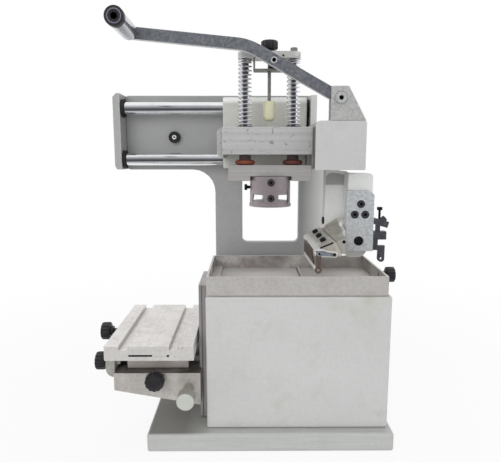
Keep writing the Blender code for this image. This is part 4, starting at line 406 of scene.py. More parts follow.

# %% [markdown]
# ## Painted and cast finishes
# The sheet metal housing and the cast plates are sprayed grey. Sprayed paint has a fine orange
# peel, faint hand marks where it gets touched, and lighter edges where it wears thin, which also
# carry a painted highlight. Its corners are darker with dust and painted shade. The tones and the
# strength of each mark are inputs, so one function serves every painted piece.

# %% How grey paint is made
def grey_paint(
        name, tone, stain, roughness=0.42, pale=None, pale_tone=srgb(234, 234, 231), smudged=0.3,
        brushed=0.0, dust_tone_and_shadow_limit=None):
    """Sprayed grey paint: orange peel, smudges, dust and painted shade in the corners, and pale edges
    from wear and a painted highlight. pale is an axis and two places: the paint turns paler from the
    first to the second, which on the back plate and the carriage is painted light. brushed is the
    share of fine lines along x, from the wiping cloth. The last argument is a place in metres along
    x: left of it, the faces that look up get a painted shadow."""
    paint = Finish(name, tone, roughness)
    tree = paint.tree
    darker = shade(tone, 0.86)
    smudge = patches(tree, 0.05, 0.52, 0.72, 4.0, shift=3.1)
    smudge = times(tree, smudge, patches(tree, 0.02, 0.35, 0.7, 5.0))
    paint.coat(shade(tone, 1.08), patches(tree, 0.16, 0.3, 0.7, 2.0, shift=7.7))
    grain = noise(tree, 0.0045, 5.0, rough=0.7, shift=1.3)
    paint.coat(darker, spread(tree, grain, 0.4, 0.62, 0.0, 0.3))
    if brushed:
        paint.coat(darker, patches(tree, 0.0016, 0.4, 0.65, stretch=drawn_out("x", 0.02), shift=2.0), brushed)
    paint.coat(stain, smudge, smudged)
    # Darker in the corners: dust and painted shade.
    paint.coat(stain, dirt_and_painted_shade(tree), 0.35)
    if pale:
        axis, first, last = pale
        paint.coat(pale_tone, spread(tree, along(tree, axis), first, last))
    # Left of the given place, the faces that look up get a painted shadow.
    if dust_tone_and_shadow_limit is not None:
        painted_shadow_left = spread(tree, along(tree, "x"), dust_tone_and_shadow_limit, dust_tone_and_shadow_limit + 0.04, 0.75, 0.0)
        paint.coat(srgb(112, 110, 105), painted_shadow_left, upward(tree))
    # Pale edges: wear in patches, and a painted highlight on the rounded edges.
    wear_and_highlight = times(tree, edges(tree, 0.0016), patches(tree, 0.006, 0.3, 0.55, 4.0))
    paint.coat(srgb(236, 236, 233), wear_and_highlight, 0.8)
    glossy = blend_to(tree, smudge, roughness, roughness + 0.16)
    return paint.done(glossy, noise(tree, 0.0016, 2.0), 0.00003)


print("a paint is made by", grey_paint.__name__)

# %% [markdown]
# Several batches of paint differ slightly. The back plate is painted lighter on its right, as
# painted light, the carriage has a painted highlight along its top rim, the height knob is pale at
# its face, and the top of the base is darker on its left, a painted shadow.

# %% Grey paints
CARRIAGE_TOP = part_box("carriage_block")[1].z
KNOB_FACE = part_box("height_knob")[0].y
HOUSING_PAINT = grey_paint(
    "housing_paint", srgb(198, 198, 196), srgb(182, 180, 168), smudged=0.9, brushed=0.12,
)
# The base's darker top on its left is a painted shadow.
BASE_PAINT = grey_paint(
    "base_paint", srgb(190, 191, 188), srgb(150, 148, 144), brushed=0.7, dust_tone_and_shadow_limit=-0.125,
)
# The back plate's paler right side is painted light.
PLATE_PAINT = grey_paint(
    "plate_paint", srgb(163, 163, 163), srgb(134, 134, 134), 0.38, pale=("x", 0.062, 0.098),
)
BRACKET_PAINT = grey_paint("bracket_paint", srgb(165, 165, 164), srgb(140, 139, 137))
COVER_PAINT = grey_paint(
    "cover_paint", srgb(188, 188, 187), srgb(166, 165, 160), smudged=0.9, brushed=0.12,
)
ARM_PAINT = grey_paint("arm_paint", srgb(224, 224, 222), srgb(176, 174, 170))
CAM_PAINT = grey_paint("cam_paint", srgb(229, 230, 227), srgb(184, 183, 180))
# The carriage's pale top rim is a painted highlight.
CARRIAGE_PAINT = grey_paint(
    "carriage_paint", srgb(202, 202, 195), srgb(160, 158, 150),
    pale=("z", CARRIAGE_TOP - 0.0105, CARRIAGE_TOP - 0.0045), pale_tone=srgb(254, 254, 250),
)
KNOB_PAINT = grey_paint(
    "knob_paint", srgb(158, 157, 148), srgb(120, 118, 110),
    pale=("y", KNOB_FACE + 0.0022, KNOB_FACE + 0.0008), pale_tone=srgb(194, 195, 188),
)
print("paints", sum(1 for m in bpy.data.materials if m.name.endswith("_paint")))

# %% [markdown]
# Bare cast aluminium, as on the tray and the knee, is dull and blotchy. Each casting has its own
# marks: the knee's top is dark with oil and painted shade, ink has dried as a film on the tray's
# walls and the tray's floor is painted lighter, the clamp has a painted highlight on its left, and
# the carrier is paler on its right. One function makes all of them, with the marks as inputs.

# %% Cast aluminium
INK_MIDDLE = 0.015


def ink_film(tree, front):
    """1 where ink has dried on the tray's walls: behind front, and weaker to the right."""
    to_right = maths(tree, "SUBTRACT", along(tree, "x"), INK_MIDDLE)
    return times(
        tree, patches(tree, 0.06, 0.38, 0.56, 4.0, shift=9.4), spread(tree, to_right, 0.05, 0.09, 1.0, 0.45),
        spread(tree, along(tree, "y"), front, front + 0.006, 0.0, 0.75),
        maths(tree, "SUBTRACT", 1.0, times(tree, upward(tree), 0.88)),
    )


def cast_metal(name, tone, dark, blotch, oil_and_shade_on_top=0.0, dark_film_tone=None, inked=None, pale=None):
    """Bare cast metal with blotches, soiling and painted shade in the corners, oil and painted shade on
    its top, and bright edges from wear and a painted highlight. inked is the front limit of an ink
    film; with it, the faces that look up are painted lighter. pale is two places on x: the metal
    turns paler from the first to the second."""
    metal = Finish(name, tone, 0.5, 0.35)
    tree = metal.tree
    patch = patches(tree, 0.03, 0.38, 0.68, 6.0, rough=0.65)
    metal.coat(dark, patch, blotch)
    metal.coat(dark, patches(tree, 0.005, 0.45, 0.65, 5.0, rough=0.7, shift=2.3), 0.35)
    # Darker in the corners: soiling and painted shade.
    metal.coat(dark, dirt_and_painted_shade(tree, 0.015), 0.4)
    # The faces that look up darken with oil and painted shade.
    if oil_and_shade_on_top:
        metal.coat(dark_film_tone, upward(tree), blend_to(tree, patch, oil_and_shade_on_top * 0.8, oil_and_shade_on_top))
    if inked:
        metal.coat(dark_film_tone, ink_film(tree, inked))
        # The faces that look up, the tray's floor, are painted lighter: painted light.
        metal.coat(srgb(238, 235, 231), upward(tree), 0.6)
    if pale:
        metal.coat(srgb(222, 223, 218), spread(tree, along(tree, "x"), *pale))
    # Bright edges: wear and a painted highlight.
    metal.coat(srgb(222, 220, 215), edges(tree, 0.0009), 0.7)
    return metal.done(blend_to(tree, patch, 0.42, 0.6), noise(tree, 0.0009), 0.00006)


CAST_ALUMINIUM = cast_metal("cast_aluminium", srgb(196, 194, 188), srgb(140, 136, 128), 0.6)
# The knee's dark top is oil and painted shade under the slide.
KNEE_METAL = cast_metal(
    "knee_metal", srgb(210, 205, 199), srgb(158, 150, 143), 0.5, oil_and_shade_on_top=0.96, dark_film_tone=srgb(72, 65, 61),
)
TRAY_METAL = cast_metal(
    "tray_metal", srgb(208, 205, 201), srgb(172, 163, 158), 0.35, dark_film_tone=srgb(104, 90, 92), inked=-0.106,
)
# The clamp's paler left side is a painted highlight on its bevel.
CLAMP_METAL = cast_metal(
    "clamp_metal", srgb(212, 208, 200), srgb(158, 151, 142), 0.6, pale=(0.0706, 0.0664),
)
CARRIER_METAL = cast_metal(
    "carrier_metal", srgb(196, 192, 184), srgb(148, 142, 132), 0.7, pale=(0.1065, 0.1095),
)
print("castings", CAST_ALUMINIUM.name, TRAY_METAL.name, CLAMP_METAL.name)

# %% [markdown]
# Milled aluminium keeps the cutter's lines. They are noise that is drawn out some eighty times
# along the cut, so that it runs as streaks. Knocks, scuffs and scratches come from use.

# %% Milled aluminium
def milled_metal(
        name, tone, cut, dark=(0.2, 0.19, 0.18, 1), marks=0.4, streaks=0.45, rim=0.5, scratched=0.0, dirt_and_shade=0.5):
    """Bright metal with fine cutter lines along the axis cut, the knocks and scratches of use, soiling and
    painted shade in its corners, and a pale rim from wear and a painted highlight.
    """
    metal = Finish(name, tone, 0.36, 0.4)
    tree = metal.tree
    drawn = drawn_out(cut, 0.012)
    darker = shade(tone, 0.8)
    patch = patches(tree, 0.028, 0.45, 0.72, 6.0, rough=0.7, shift=1.7)
    metal.coat(darker, patches(tree, 0.006, 0.3, 0.7, stretch=drawn, shift=5.0), streaks)
    metal.coat(darker, patch, marks)
    metal.coat(dark, patches(tree, 0.007, 0.6, 0.72, 6.0, rough=0.75, shift=4.4), marks * 0.7)
    # Darker in the corners: soiling and painted shade.
    metal.coat(dark, dirt_and_painted_shade(tree, 0.008), dirt_and_shade)
    if scratched:
        crack = cells(tree, 0.012, "Distance", (0.45, 1, 1), "DISTANCE_TO_EDGE")
        crack = spread(tree, crack, 0.0, 0.05, 1.0, 0.0)
        metal.coat(dark, crack, patches(tree, 0.009, 0.52, 0.6, 5.0, shift=6.2), scratched)
    # Bright rim: wear and a painted highlight.
    metal.coat(srgb(235, 233, 228), edges(tree), rim)
    return metal.done(blend_to(tree, patch, 0.32, 0.5), noise(tree, 0.0008, stretch=drawn), 0.00002)


HEAD_METAL = milled_metal(
    "head_metal", srgb(212, 211, 210), "x", marks=0.5, streaks=1.0, rim=0.9, scratched=0.9,
)
CROSSBAR_METAL = milled_metal(
    "crossbar_metal", srgb(212, 212, 209), "x", marks=0.9, streaks=0.7, scratched=0.8,
)
TABLE_METAL = milled_metal(
    "table_metal", srgb(240, 236, 232), "y", srgb(112, 102, 97), marks=0.9, rim=0.2, scratched=0.4, dirt_and_shade=0.9,
)
SLIDE_METAL = milled_metal("slide_metal", srgb(222, 213, 207), "x", srgb(112, 100, 95), marks=0.9)
RAIL_METAL = milled_metal("rail_metal", srgb(176, 172, 171), "z")
PAD_PLATE_METAL = milled_metal("pad_plate_metal", srgb(192, 188, 186), "x", marks=0.5, streaks=0.7)
HOLDER_METAL = milled_metal("holder_metal", srgb(159, 148, 150), "x", marks=0.6, rim=0.8, scratched=0.6)
print("milled metals", HEAD_METAL.name, TABLE_METAL.name, HOLDER_METAL.name)

# %% [markdown]
# Zinc plating has two faces here. The lever is dull and blue-grey with mottled patches, and the
# lever bracket and scraper block show the pale crystal spangle of hot zinc.

# %% Zinc finishes
def mottled_zinc(name, tone, dark, size=0.004, pale_underside=0.0, metallic=0.4):
    """Dull plating, mottled, with pale edges from wear and a painted highlight, and near white on its
    underside."""
    metal = Finish(name, tone, 0.45, metallic)
    tree = metal.tree
    mottle = patches(tree, size, 0.4, 0.6, 5.0, rough=0.75)
    metal.coat(dark, mottle)
    metal.coat(dark, patches(tree, size * 6, 0.35, 0.65, shift=2.0), 0.4)
    # Pale edges: wear and a painted highlight.
    metal.coat(srgb(196, 198, 200), edges(tree, 0.0012), 0.75)
    if pale_underside:
        metal.coat(srgb(240, 240, 240), spread(tree, steepness(tree), -0.5, -0.75, 0.0, pale_underside))
    return metal.done(blend_to(tree, mottle, 0.36, 0.56), noise(tree, 0.0012), 0.00003)


def spangled_zinc(name, tone, dark):
    """Pale hot-dip zinc with crystal spangle, soiling and painted shade in its corners, and pale edges from
    wear and a painted highlight.
    """
    metal = Finish(name, tone, 0.42, 0.35)
    tree = metal.tree
    crystal = put(tree, "SeparateColor", Color=cells(tree, 0.0032, "Color")).outputs[0]
    metal.coat(dark, blend_to(tree, crystal, 0.0, 0.8))
    metal.coat(srgb(238, 240, 241), patches(tree, 0.0016, 0.55, 0.68, 4.0), 0.7)
    # Darker in the corners: soiling and painted shade.
    metal.coat(dark, dirt_and_painted_shade(tree, 0.008), 0.5)
    # Pale edges: wear and a painted highlight.
    metal.coat(srgb(226, 226, 224), edges(tree), 0.6)
    return metal.done(blend_to(tree, crystal, 0.32, 0.52), noise(tree, 0.0015), 0.00003)


LEVER_ZINC = mottled_zinc("lever_zinc", srgb(136, 138, 142), srgb(98, 101, 108), 0.0045, pale_underside=0.9)
BRACKET_ZINC = spangled_zinc("bracket_zinc", srgb(196, 196, 193), srgb(166, 167, 165))
BLOCK_ZINC = spangled_zinc("block_zinc", srgb(208, 210, 211), srgb(176, 179, 181))
# Ground steel is near white and not metallic: a painted glint stands in for the shine of polished steel.
GROUND_STEEL_PAINTED_GLINT = mottled_zinc("ground_steel", srgb(254, 254, 250), srgb(230, 228, 220), metallic=0.0)
PLATED_STEEL = mottled_zinc("plated_steel", srgb(214, 214, 214), srgb(184, 184, 186))
BAIL_STEEL = mottled_zinc("bail_steel", srgb(146, 145, 140), srgb(114, 113, 109))
END_PLATE_STEEL = mottled_zinc("end_plate_steel", srgb(160, 164, 172), srgb(118, 121, 130), 0.005)
print("zinc", LEVER_ZINC.name, BRACKET_ZINC.name, PLATED_STEEL.name)

# %% [markdown]
# Rods and springs are polished. A mirror with a perfectly even roughness looks like plastic, so a
# little streaky noise breaks the shine. The press rods get a painted reflection: dark where they
# face the viewer and bright at their sides, and Layer Weight tells the one from the other.

# %% Bright and dark steel
def polished(name, tone, roughness, axis="x", painted_reflection_core=None):
    """Polished or drawn metal: nearly a mirror, with faint lines along one axis. The last argument is
    the darker tone of the faces that look straight at the viewer: a painted reflection."""
    metal = Finish(name, tone, roughness, 1.0)
    tree = metal.tree
    lines = noise(tree, 0.002, stretch=drawn_out(axis, 0.03))
    metal.coat(shade(tone, 0.82), patches(tree, 0.02, 0.4, 0.7, 4.0), 0.5)
    if painted_reflection_core:
        # A painted reflection: darker where a face looks at the camera, lighter at its sides.
        turned_away = put(tree, "LayerWeight", Blend=0.5).outputs["Facing"]
        metal.colour = mix(tree, spread(tree, turned_away, 0.12, 0.34), painted_reflection_core, metal.colour)
    return metal.done(spread(tree, lines, 0.3, 0.7, roughness, roughness + 0.04), lines, 0.0000008)


def dark_metal(name, tone, wear_and_highlight, roughness=0.42):
    """Blackened steel that shines through grey where it is handled, and grey on its edges from wear and a
    painted highlight.
    """
    metal = Finish(name, tone, roughness, 0.6)
    tree = metal.tree
    patch = patches(tree, 0.004, 0.42, 0.7, 5.0, rough=0.7)
    metal.coat(wear_and_highlight, patch, 0.5)
    # Grey edges: wear and a painted highlight.
    metal.coat(wear_and_highlight, edges(tree, 0.0004), 0.6)
    return metal.done(
        blend_to(tree, patch, roughness - 0.06, roughness + 0.12), noise(tree, 0.0008), 0.00002,
    )


CHROME_ROD = polished("chrome_rod", srgb(238, 239, 241), 0.10)
PRESS_ROD = polished("press_rod", srgb(246, 246, 248), 0.12, "z", painted_reflection_core=srgb(112, 112, 120))
SPRING_WIRE = polished("spring_wire", srgb(250, 250, 252), 0.30, "z")
GRIP_SLEEVE = polished("grip_sleeve", srgb(200, 203, 208), 0.24, "y")
BRASS = polished("brass", srgb(206, 176, 112), 0.25, "y")
BLACK_STEEL = dark_metal("black_steel", srgb(30, 30, 34), srgb(66, 66, 70))
GREY_STEEL = dark_metal("grey_steel", srgb(88, 88, 95), srgb(128, 128, 134))
SCREW_STEEL = dark_metal("screw_steel", srgb(70, 69, 79), srgb(112, 110, 120))
BLADE_STEEL = dark_metal("blade_steel", srgb(86, 66, 60), srgb(132, 112, 104), 0.4)
SCRAPER_STEEL = dark_metal("scraper_steel", srgb(118, 100, 92), srgb(160, 146, 138), 0.45)
# Pocket black is for the insides of pockets, slits and holes: painted shade, with oil in the pockets.
POCKET_BLACK = dark_metal("pocket_black", srgb(12, 12, 14), srgb(26, 26, 28), 0.6)
print("steels", CHROME_ROD.name, BLACK_STEEL.name, SCRAPER_STEEL.name)

# %% [markdown]
# The soft and moulded materials: black knobs with a fine moulded grain, rubber that is dull and
# dusty, the two red-brown buffers, and the cream nylon stop, which lets a little light in. Dried
# ink and rust are dull films with the same kind of grain.

# %% Plastics, rubber and films
def moulded(name, tone, dust_tone_and_shadow_limit, roughness, grain=0.0007, relief=0.00003):
    """Plastic, rubber or a dried film, with a grain, dust that has settled in patches, and paler edges from
    dust and a painted highlight.
    """
    stuff = Finish(name, tone, roughness)
    tree = stuff.tree
    dust = patches(tree, 0.008, 0.45, 0.75, 5.0, rough=0.65)
    stuff.coat(dust_tone_and_shadow_limit, dust, 0.45)
    # Paler edges: dust and a painted highlight.
    stuff.coat(dust_tone_and_shadow_limit, edges(tree, 0.0005), 0.35)
    return stuff.done(blend_to(tree, dust, roughness, roughness + 0.2), noise(tree, grain), relief)


BLACK_PLASTIC = moulded("black_plastic", srgb(32, 31, 35), srgb(58, 57, 62), 0.38)
BLACK_RUBBER = moulded("black_rubber", srgb(34, 34, 36), srgb(66, 65, 66), 0.7)
LEFT_BUFFER_RUBBER = moulded("left_buffer_rubber", srgb(126, 66, 48), srgb(146, 92, 74), 0.6)
RIGHT_BUFFER_RUBBER = moulded("right_buffer_rubber", srgb(100, 54, 50), srgb(124, 80, 76), 0.6)
BUFFER_NECK = moulded("buffer_neck", srgb(70, 56, 58), srgb(112, 96, 96), 0.4)
RUST_FILM = moulded("rust_film", srgb(96, 62, 46), srgb(150, 112, 84), 0.7)
# A dark film: dirt and painted shade on the cover's side, and painted shade round the pivot washer.
DIRT_AND_SHADE_FILM = moulded("dirt_and_shade_film", srgb(112, 104, 100), srgb(160, 152, 146), 0.7, 0.0016)
NYLON = moulded("nylon", srgb(204, 201, 172), srgb(212, 211, 192), 0.42, 0.002, 0.00002)
CAP_RING = moulded("cap_ring", srgb(112, 108, 126), srgb(140, 136, 150), 0.35)
nylon_inputs = NYLON.node_tree.nodes["Principled BSDF"].inputs
nylon_inputs["Subsurface Weight"].default_value = 0.35
nylon_inputs["Subsurface Scale"].default_value = 0.004
nylon_inputs["Subsurface Radius"].default_value = (1.0, 0.85, 0.55)
print("moulded", BLACK_PLASTIC.name, BLACK_RUBBER.name, NYLON.name)

# %% [markdown]
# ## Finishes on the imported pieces
# Each CAD piece keeps its shape and gets one of the finishes. Real edges are never razor sharp.
# Editing the edges one by one takes long, so four modifiers do it: Weld closes the seams that a
# file import leaves, Decimate joins the triangles of a flat face, Bevel rounds every edge over 32
# degrees, and Weighted Normal keeps the flat faces flat in the light.

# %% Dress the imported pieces
def dress(node, material, edge):
    """Give a CAD node a finish and rounded edges edge metres wide."""
    node.material_slots[0].material = material
    weld = node.modifiers.new("close_seams", "WELD")
    weld.merge_threshold = 0.00001
    flat = node.modifiers.new("merge_flats", "DECIMATE")
    flat.decimate_type = "DISSOLVE"
    flat.angle_limit = radians(0.3)
    rounding = node.modifiers.new("round_edges", "BEVEL")
    rounding.width = edge
    rounding.segments = 2
    rounding.limit_method = "ANGLE"
    rounding.angle_limit = radians(32)
    shading = node.modifiers.new("even_shading", "WEIGHTED_NORMAL")
    shading.keep_sharp = True


for material, edge, names in (
    (HOUSING_PAINT, 0.0010, "body_housing"),
    (BASE_PAINT, 0.0018, "base_plate"),
    (PLATE_PAINT, 0.0008, "back_plate"),
    (BRACKET_PAINT, 0.0008, "left_end_bracket"),
    (CAM_PAINT, 0.0008, "right_end_bracket cam_housing"),
    (CARRIAGE_PAINT, 0.0008, "carriage_block"),
    (COVER_PAINT, 0.0008, "side_cover"),
    (ARM_PAINT, 0.0008, "scraper_arm"),
    (KNOB_PAINT, 0.0008, "height_knob"),
    (TRAY_METAL, 0.0006, "ink_tray"),
    (KNEE_METAL, 0.0008, "knee_bracket"),
    (CAST_ALUMINIUM, 0.0008, "feed_bracket"),
    (CLAMP_METAL, 0.0006, "blade_clamp"),
    (CARRIER_METAL, 0.0006, "scraper_carrier"),
    (HEAD_METAL, 0.0006, "head_block"),
    (CROSSBAR_METAL, 0.0006, "crossbar"),
    (PAD_PLATE_METAL, 0.0006, "pad_plate"),
    (HOLDER_METAL, 0.0006, "pad_holder"),
    (TABLE_METAL, 0.0004, "work_table"),
    (SLIDE_METAL, 0.0004, "cross_slide"),
    (RAIL_METAL, 0.0005, "height_rail"),
    (LEVER_ZINC, 0.0008, "lever_bar"),
    (BRACKET_ZINC, 0.0006, "lever_bracket"),
    (BLOCK_ZINC, 0.0006, "scraper_block"),
    (PLATED_STEEL, 0.0005, "lower_bush upper_bush"),
    (BAIL_STEEL, 0.0005, "bail"),
    (GRIP_SLEEVE, 0.0005, "lever_grip"),
    (BLACK_STEEL, 0.0004, "bail_roller scraper_shaft"),
    (GREY_STEEL, 0.0004, "adjuster_clamp hooked_link"),
    (SCRAPER_STEEL, 0.0003, "doctor_blade end_strip"),
    (BLACK_RUBBER, 0.0005, "lower_left_bumper upper_left_bumper lower_right_bumper upper_right_bumper"),
    (BLACK_RUBBER, 0.0005, "beam_stop_bumper"),
):
    for name in names.split():
        dress(NODES[name], material, edge)
print("dressed", sum(1 for o in NODES.values() if o.modifiers), "packed pieces")

# %% [markdown]
# ## Making small pieces
# A turned knob, a flat plate and a coil have one thing in common: each is a row of rings of
# points with a skin over them. So one function makes the skin, and another puts the piece on its
# moving body, with its finish and the CAD pieces that it stands for.

# %% Skin and pieces
def skin(name, rings, inner=0):
    """A closed mesh through rings of points. Its last inner steps get the second finish."""
    work = bmesh.new()
    rings = [[work.verts.new(point) for point in ring] for ring in rings]
    count = len(rings[0])
    for step, (low, high) in enumerate(zip(rings, rings[1:])):
        for index in range(count):
            after = (index + 1) % count
            face = work.faces.new((low[index], low[after], high[after], high[index]))
            face.material_index = 1 if step >= len(rings) - 1 - inner else 0
    work.faces.new(rings[0][::-1])
    work.faces.new(rings[-1]).material_index = 1 if inner else 0
    bmesh.ops.recalc_face_normals(work, faces=work.faces)
    mesh = bpy.data.meshes.new(name)
    work.to_mesh(mesh)
    work.free()
    return mesh


def add_piece(name, mesh, body, material, slot, *replaced):
    """Put a mesh in the scene on its body, with its finish and the CAD nodes it stands for."""
    mesh.materials.append(material)
    mesh.shade_smooth()
    mesh.set_sharp_from_angle(angle=radians(35))
    piece = bpy.data.objects.new(name, mesh)
    SCENE.collection.objects.link(piece)
    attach(piece, body)
    if replaced:
        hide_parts(*replaced)
    return piece


# %% [markdown]
# Knobs, screws, washers and buffers are all turned: a profile of radius and height, swept round an
# axis. Blender's Screw modifier can do that, but a knob's flutes and a screw's hexagon aren't
# round. Here each step of the profile also says its outline, so one function makes all of them.

# %% Turned pieces
AROUND = 64
FLUTE_DEPTH = 0.085
LEFT, RIGHT, FRONT, UP = (-1, 0, 0), (1, 0, 0), (0, -1, 0), (0, 0, 1)


def outline_factor(outline, angle, flutes):
    """How far out a point lies at this angle, as a share of the radius."""
    if "hexagon" in outline:
        return cos(pi / 6) / cos((angle % (pi / 3)) - pi / 6)
    if "fluted" in outline:
        return 1 - FLUTE_DEPTH * max(0.0, cos(angle * flutes)) ** 1.5
    return 1.0


def axis_frame(foot, direction):
    """A matrix whose Z axis runs along direction from foot."""
    z = Vector(direction).normalized()
    x = z.orthogonal().normalized()
    return Matrix.Translation(foot) @ Matrix((x, z.cross(x), z)).transposed().to_4x4()


def turned(name, foot, direction, profile, body, material, slot, *replaced, flutes=0, inner=0, second=None):
    """A piece swept round an axis. The profile is (radius, height) or (radius, height, outline).
    The last inner steps of the profile have a second finish. As a rule they are the inside of a
    pocket, which is near black: oil and painted shade."""
    around = max(AROUND, flutes * 6)
    place = axis_frame(foot, direction)
    rings = []
    for radius, height, *outline in profile:
        ring = []
        for angle in (2 * pi * index / around for index in range(around)):
            reach = radius * outline_factor(outline, angle, flutes)
            ring.append(place @ Vector((reach * cos(angle), reach * sin(angle), height)))
        rings.append(ring)
    mesh = skin(name, rings, inner)
    piece = add_piece(name, mesh, body, material, slot, *replaced)
    if inner:
        mesh.materials.append(second or POCKET_BLACK)
    return piece


def span_of(node, direction):
    """Where a turned piece in a CAD node's place begins, and how long the node is that way."""
    low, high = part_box(node)
    foot = (low + high) / 2
    axis = [abs(part) for part in direction].index(1)
    foot[axis] = low[axis] if direction[axis] > 0 else high[axis]
    return foot, high[axis] - low[axis]


print("turned pieces ready,", AROUND, "points around")

# %% [markdown]
# Plates, strips and the thin blade are flat: an outline with some thickness. A plain extrusion
# would do for most, but the blade and the saddle change shape from their near end to their far
# end, so the far face may have an outline of its own. A Bevel modifier takes the sharpness off.

# %% Flat pieces
def flat_piece(
        name, facing, outline, near, far, body, material, slot, *replaced, rounding=0.0003, far_outline=None):
    """A flat piece. Its outline lies across the axis facing, and near and far say where its two
    faces are. With a far outline it changes shape on the way."""
    rings = []
    for place, corners in ((near, outline), (far, far_outline or outline)):
        rings.append([
            {"x": (place, u, v), "y": (u, place, v), "z": (u, v, place)}[facing] for u, v in corners
        ])
    piece = add_piece(name, skin(name, rings), body, material, slot, *replaced)
    edge = piece.modifiers.new("round_edges", "BEVEL")
    edge.width = rounding
    edge.segments = 2
    edge.limit_method = "ANGLE"
    return piece


def rectangle(left, right, low, high):
    """The four corners of a plain outline."""
    return [(left, low), (right, low), (right, high), (left, high)]


print("a square:", rectangle(0, 1, 0, 1))

# %% [markdown]
# ## Rods
# A mirror shows every flat of a coarse mesh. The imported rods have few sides, so each polished rod
# is turned again with 64 sides and smooth shading, and has a small chamfer at both ends.

# %% Guide rods and press rods
ROD_CHAMFER = 0.0008

for node, direction, body, material in (
    ("lower_guide_rod", RIGHT, "frame", CHROME_ROD),
    ("upper_guide_rod", RIGHT, "frame", CHROME_ROD),
    ("left_press_rod", UP, "press_head", PRESS_ROD),
    ("right_press_rod", UP, "press_head", PRESS_ROD),
):
    foot, length = span_of(node, direction)
    low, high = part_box(node)
    radius = (high.y - low.y if direction == RIGHT else high.x - low.x) / 2
    profile = [
        (radius - ROD_CHAMFER, 0), (radius, ROD_CHAMFER), (radius, length - ROD_CHAMFER),
        (radius - ROD_CHAMFER, length),
    ]
    turned(node + "_polished", foot, direction, profile, body, material, "chrome", node)

# %% [markdown]
# ## Coil springs
# Two springs push the head back up. A spring is one round wire along a helix, and its last turn at
# each end lies flat, so that it sits square. When the head drops, a real spring gets shorter, but
# these ride on the carriage and keep their length.

# %% Springs
SPRING_GAP = 0.0003
SPRING_FOOT = 0.4649
SPRING_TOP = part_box("crossbar")[0].z - SPRING_GAP
SPRING_RADIUS = 0.00905
SPRING_WIRE_RADIUS = 0.0012
SPRING_TURNS = 17
SPRING_STEPS = 28
WIRE_SIDES = 10
PRESS_RODS = {side: span_of(side + "_press_rod", UP)[0].xy for side in ("left", "right")}


def coil(name, x, y, replaced):
    """A compression spring with its end turns laid flat."""
    low = SPRING_FOOT + SPRING_WIRE_RADIUS
    high = SPRING_TOP - SPRING_WIRE_RADIUS
    flat_rise = 2.1 * SPRING_WIRE_RADIUS
    free_rise = (high - low - 2 * flat_rise) / (SPRING_TURNS - 2)
    rings = []
    for index in range(SPRING_TURNS * SPRING_STEPS + 1):
        turn = index / SPRING_STEPS
        in_free = min(max(turn - 1, 0), SPRING_TURNS - 2)
        in_flat = min(turn, 1) + max(turn - (SPRING_TURNS - 1), 0)
        height = low + in_flat * flat_rise + in_free * free_rise
        angle = 2 * pi * turn
        out = Vector((cos(angle), sin(angle), 0))
        rise = free_rise if 1 <= turn <= SPRING_TURNS - 1 else flat_rise
        run = Vector((-sin(angle), cos(angle), rise / (2 * pi * SPRING_RADIUS))).normalized()
        side = run.cross(out)
        centre = Vector((x, y, height)) + SPRING_RADIUS * out
        round_wire = (2 * pi * k / WIRE_SIDES for k in range(WIRE_SIDES))
        rings.append([centre + SPRING_WIRE_RADIUS * (cos(a) * out + sin(a) * side) for a in round_wire])
    piece = add_piece(name, skin(name, rings), "carriage", SPRING_WIRE, "spring_steel", replaced)
    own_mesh(piece)
    return piece


for side, (x, y) in PRESS_RODS.items():
    spring = coil(side + "_coil", x, y, side + "_spring")
    print(spring.name, len(spring.data.polygons), "faces")

# %% [markdown]
# ## Knobs
# Every black knob is a fluted disc with rounded rims and a shallow dish in its face. The flutes
# give the fingers grip. Each knob also carries its neck and its stem, in one mesh, because it
# stands for the whole CAD piece. The five differ in a few sizes only, so a table holds those.

# %% Knobs
FLUTES = 12
KNOB_RIM = ((0.80, 0), (0.94, 0.05), (1.00, 0.16), (1.00, 0.80), (0.95, 0.93), (0.84, 0.985))
KNOB_DISH = ((0.72, 0), (0.50, 0), (0.44, -0.0008), (0.12, -0.0010))


def fluted_knob(name, node, direction, body, radius, length, neck, neck_length, *stem):
    """A knob at the end of a CAD node's box. Each step of its stem is a radius and where the
    step ends: above 0 counts from the stem's foot, and 0 or less counts back from the neck."""
    foot, reach = span_of(node, direction)
    start = reach - length - neck_length
    profile, begin = [], 0.0
    for thickness, end in stem:
        end = end if end > 0 else start + end
        profile += [(thickness, begin), (thickness, end)]
        begin = end
    base = start + neck_length
    profile += [(neck, start), (neck, base)]
    profile += [(radius * out, base + length * up, "fluted") for out, up in KNOB_RIM]
    profile += [(radius * out, base + length + down) for out, down in KNOB_DISH]
    turned(name, foot, direction, profile, body, BLACK_PLASTIC, "black_plastic", node, flutes=FLUTES)


for name, node, direction, body, sizes, *stem in (
    ("feed_knob_fluted", "feed_knob", LEFT, "feed_control", (0.0135, 0.0150, 0.0080, 0.0032),
     (0.004, 0.0800), (0.008, 0.0850), (0.004, 0)),
    ("table_lock_fluted", "table_lock_knob", LEFT, "table_lock", (0.0135, 0.0140, 0.0075, 0.0040),
     (0.004, 0)),
    ("tray_clamp_fluted", "tray_clamp_knob", RIGHT, "tray_clamp", (0.0115, 0.0130, 0.0050, 0.0035),
     (0.003, 0)),
    ("stop_knob_fluted", "stop_knob", UP, "stop_control", (0.0123, 0.0125, 0.0070, 0.0035)),
    ("knee_lock_fluted", "knee_lock_knob", FRONT, "knee_lock", (0.0140, 0.0140, 0.0090, 0.0020),
     (0.004, -0.0030), (0.008, 0)),
):
    fluted_knob(name, node, direction, body, *sizes, *stem)

